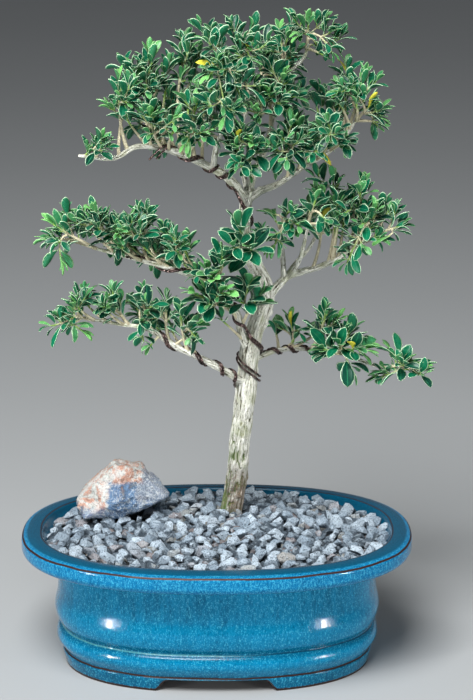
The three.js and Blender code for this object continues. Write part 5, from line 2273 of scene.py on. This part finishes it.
@dataclass
class AccentStone:
    """The stone on the gravel: flat facets round a centre, broken by crags."""

    centre: Triple = (-49.5, 20.0, 82.0)
    facets: tuple[Quad, ...] = (
        (-0.68, 0.02, 0.73, 14.8), (0.15, 0.1, 0.98, 15.2), (0.62, 0, 0.78, 15.4),
        (0.97, -0.1, -0.2, 24.5), (-0.35, -0.8, 0.48, 13), (0.35, -0.85, 0.4, 13.5),
        (0.1, -0.85, -0.5, 14), (-0.93, -0.2, -0.3, 24.5), (-0.12, 0, -0.99, 12.5),
        (0.4, -0.25, -0.88, 12.2), (0.1, 0.95, 0.3, 14), (-0.6, 0.75, 0.25, 19), (0.65, 0.7, 0.3, 19),
    )
    roughness: float = 0.025
    crag_depth: float = 0.05
    step_depth: float = 0.09
    detail: int = 6

    def reach(self, way: Vector) -> float:
        """Gives the surface's distance from the centre in a direction.

        Args:
            way: the direction, of unit length.

        Returns:
            The distance.
        """
        nearest = math.inf
        for x, y, z, distance in self.facets:
            facing = way.x * x + way.y * y + way.z * z
            if facing > 0:
                nearest = min(nearest, distance * math.sqrt(x * x + y * y + z * z) / facing)
        dents = math.sin(9 * way.x + 3) + math.sin(8 * way.y - 2) + math.sin(10 * way.z)
        crags = noise.fractal(way * 3.4, 0.75, 2.1, 6) * self.crag_depth
        steps = abs(noise.noise(way * 4.6 + Vector((4.0, 1.0, 2.0)))) * self.step_depth
        return nearest * (1 + self.roughness * dents + crags - steps)

    def build(self, finish: Material) -> None:
        """Builds the stone.

        Args:
            finish: the stone's finish.
        """
        ball = bmesh.new()
        bmesh.ops.create_icosphere(ball, subdivisions=self.detail, radius=1.0)
        ball.verts.ensure_lookup_table()
        points = []
        for vert in ball.verts:
            way = vert.co.normalized()
            points.append(way * self.reach(way) + Vector(self.centre))
        faces = [tuple(vert.index for vert in face.verts) for face in ball.faces]
        ball.free()
        piece = add_object("stone_weathered", make_mesh("stone", points, faces), finish)
        settle(piece, Slot.STONE, "accent_stone")


@dataclass(frozen=True)
class SoilFinish:
    """Dark granular bonsai soil."""

    dark: str = "#221812"
    light: str = "#5d4735"

    def make(self) -> Material:
        """Builds the material.

        Returns:
            The material.
        """
        dye = Dye("bonsai_soil")
        crumbs = dye.cells(dye.place, 450.0)
        grain = dye.noise(dye.place, 1200.0, 3.0, 0.7)
        colour = dye.blend(dye.soft(crumbs + grain * 0.3, 0.2, 0.8), self.light, self.dark)
        return dye.surface(colour, 0.95, crumbs, 0.0008)


@dataclass(frozen=True)
class PlasticFinish:
    """Black moulded plastic with a fine satin grain."""

    dark: str = "#141618"
    light: str = "#2c3033"

    def make(self) -> Material:
        """Builds the material.

        Returns:
            The material.
        """
        dye = Dye("drain_net_plastic")
        grain = dye.noise(dye.place, 1800.0, 2.0)
        return dye.surface(dye.blend(grain, self.dark, self.light), 0.45 + grain * 0.15, grain, 0.00003)


@dataclass
class DrainNet:
    """A square of plastic net over a drain hole."""

    end: int
    side: float = 22.0
    cells: int = 11
    bar: float = 0.36
    thickness: float = 0.8
    level: float = 11.7

    def build(self, finish: Material) -> None:
        """Builds the net: a grid whose cells are cut out, then thickened.

        Args:
            finish: the plastic.
        """
        node = f"drain_screen_{'left' if self.end < 0 else 'right'}"
        net = bmesh.new()
        at = Matrix.Translation(((self.end * DRAIN_X + POT_OFFSET[0]) * MM, 0, self.level * MM))
        bmesh.ops.create_grid(
            net, x_segments=self.cells, y_segments=self.cells, size=self.side * MM / 2, matrix=at
        )
        inner = bmesh.ops.inset_individual(net, faces=net.faces[:], thickness=self.bar * MM)
        rims = set(inner["faces"])
        bmesh.ops.delete(net, geom=[face for face in net.faces if face not in rims], context="FACES_ONLY")
        mesh = bpy.data.meshes.new(node)
        net.to_mesh(mesh)
        net.free()
        flat = add_object(f"{node}_flat", mesh, finish)
        plate = flat.modifiers.new("plate", "SOLIDIFY")
        plate.thickness = self.thickness * MM
        plate.offset = 0.0
        piece = frozen(f"{node}_net", flat)
        settle(piece, Slot.SCREEN, node)


@dataclass(frozen=True)
class FloorFinish:
    """A plain pale floor."""

    tone: str = "#a6a9aa"
    cloud: str = "#abaeaf"

    def make(self) -> Material:
        """Builds the material.

        Returns:
            The material.
        """
        dye = Dye("pale_floor")
        clouds = dye.noise(dye.place, 1.4, 2.0)
        return dye.surface(dye.blend(clouds, self.tone, self.cloud), 0.8)


@dataclass
class Studio:
    """The pale floor, the soft lamps and the camera at the photograph's viewing angle."""

    eye: Triple = (0.002728, -1.138651, 0.447779)
    pitch_down: float = 0.24396
    lens: float = 117.908
    clip: Pair = (0.02, 100.0)
    floor_half: float = 20.0
    target: Triple = (0.0, 0.0, 0.12)
    sky_colour: Quad = (0.93, 0.96, 1.0, 1.0)
    lamps: tuple[tuple[Triple, float, float, float, float], ...] = (
        ((-1.35, -0.95, 0.16), 0.14, 0.3, 0.52, 32.0),
        ((1.35, -0.95, 0.16), 0.14, 0.3, 0.45, 32.0),
        ((-0.35, -0.95, 1.5), 0.9, 0.9, 50.0, 180.0),
    )
    sky: float = 0.15

    def build(self) -> None:
        """Adds the floor, the lamps, the sky and the camera."""
        half = self.floor_half
        corners = [(-half, -half, 0.0), (half, -half, 0.0), (half, half, 0.0), (-half, half, 0.0)]
        mesh = bpy.data.meshes.new("floor")
        mesh.from_pydata(corners, [], [(0, 1, 2, 3)])
        add_object("floor", mesh, FloorFinish().make())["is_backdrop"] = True
        for number, (place, wide, tall, power, spread) in enumerate(self.lamps):
            lamp = bpy.data.lights.new(f"lamp_{number}", "AREA")
            lamp.shape = "RECTANGLE"
            lamp.size, lamp.size_y = wide, tall
            lamp.energy = power
            lamp.spread = math.radians(spread)
            holder = bpy.data.objects.new(f"lamp_{number}", lamp)
            holder.location = place
            holder.visible_camera = False
            facing = Vector(self.target) - Vector(place)
            holder.rotation_euler = facing.to_track_quat("-Z", "Y").to_euler()
            bpy.context.scene.collection.objects.link(holder)
        world = bpy.data.worlds.new("sky")
        world.use_nodes = True
        backdrop = world.node_tree.nodes["Background"]
        backdrop.inputs["Color"].default_value = self.sky_colour
        backdrop.inputs["Strength"].default_value = self.sky
        bpy.context.scene.view_settings.view_transform = "Standard"
        bpy.context.scene.world = world
        lens = bpy.data.cameras.new("camera")
        lens.lens = self.lens
        lens.clip_start, lens.clip_end = self.clip
        camera = bpy.data.objects.new("camera", lens)
        camera.location = self.eye
        camera.rotation_euler = (math.pi / 2 - self.pitch_down, 0.0, 0.0)
        bpy.context.scene.collection.objects.link(camera)
        bpy.context.scene.camera = camera


def build_foliage() -> None:
    """Builds every spray, each from its own stream of random numbers."""
    low, high = (np.array(corner) / MM - POT_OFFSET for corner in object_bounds())
    low, high = low + BOX_MARGIN, high - BOX_MARGIN
    tree = leaf_tree()
    shapes = shape_set("leaf", [LeafBlade(form).mesh() for form in LeafForm])
    leaf, bark = LeafFinish().make(), TwigFinish().make()
    total = 0
    for number, (name, spray) in enumerate(SPRAYS.items()):
        habit = HABITS.get(name, USUAL)
        foliage = Foliage(name, spray, random.Random(FIRST_SPRAY_SEED + number), low, high, habit)
        total += foliage.build(tree, shapes, leaf, bark)
    LOG.info("leaves: %d", total)


def main() -> None:
    """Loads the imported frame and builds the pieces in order."""
    logging.basicConfig(level=logging.INFO, format="%(message)s")
    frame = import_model()
    Studio().build()
    pot = Pot()
    pot.build(GlazeFinish().make(pot))
    soil = frame["nodes"]["soil"]
    soil.material_slots[0].material = SoilFinish().make()
    plastic = PlasticFinish().make()
    for end in (-1, 1):
        DrainNet(end).build(plastic)
    Gravel(pot, random.Random(GRAVEL_SEED)).build(GravelFinish().make(), BedFinish().make())
    stone = AccentStone()
    centre = (Vector(stone.centre) + Vector(POT_OFFSET)) * MM
    stone.build(StoneFinish().make(centre))
    axes = Axes()
    Wood(axes).build(BarkFinish().make())
    wire = WireFinish().make()
    for name in WIRES:
        TrainingWire(name, axes, free_end=FREE_ENDS.get(name, 0.0)).build(wire)
    build_foliage()
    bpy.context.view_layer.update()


if __name__ == "__main__":
    main()
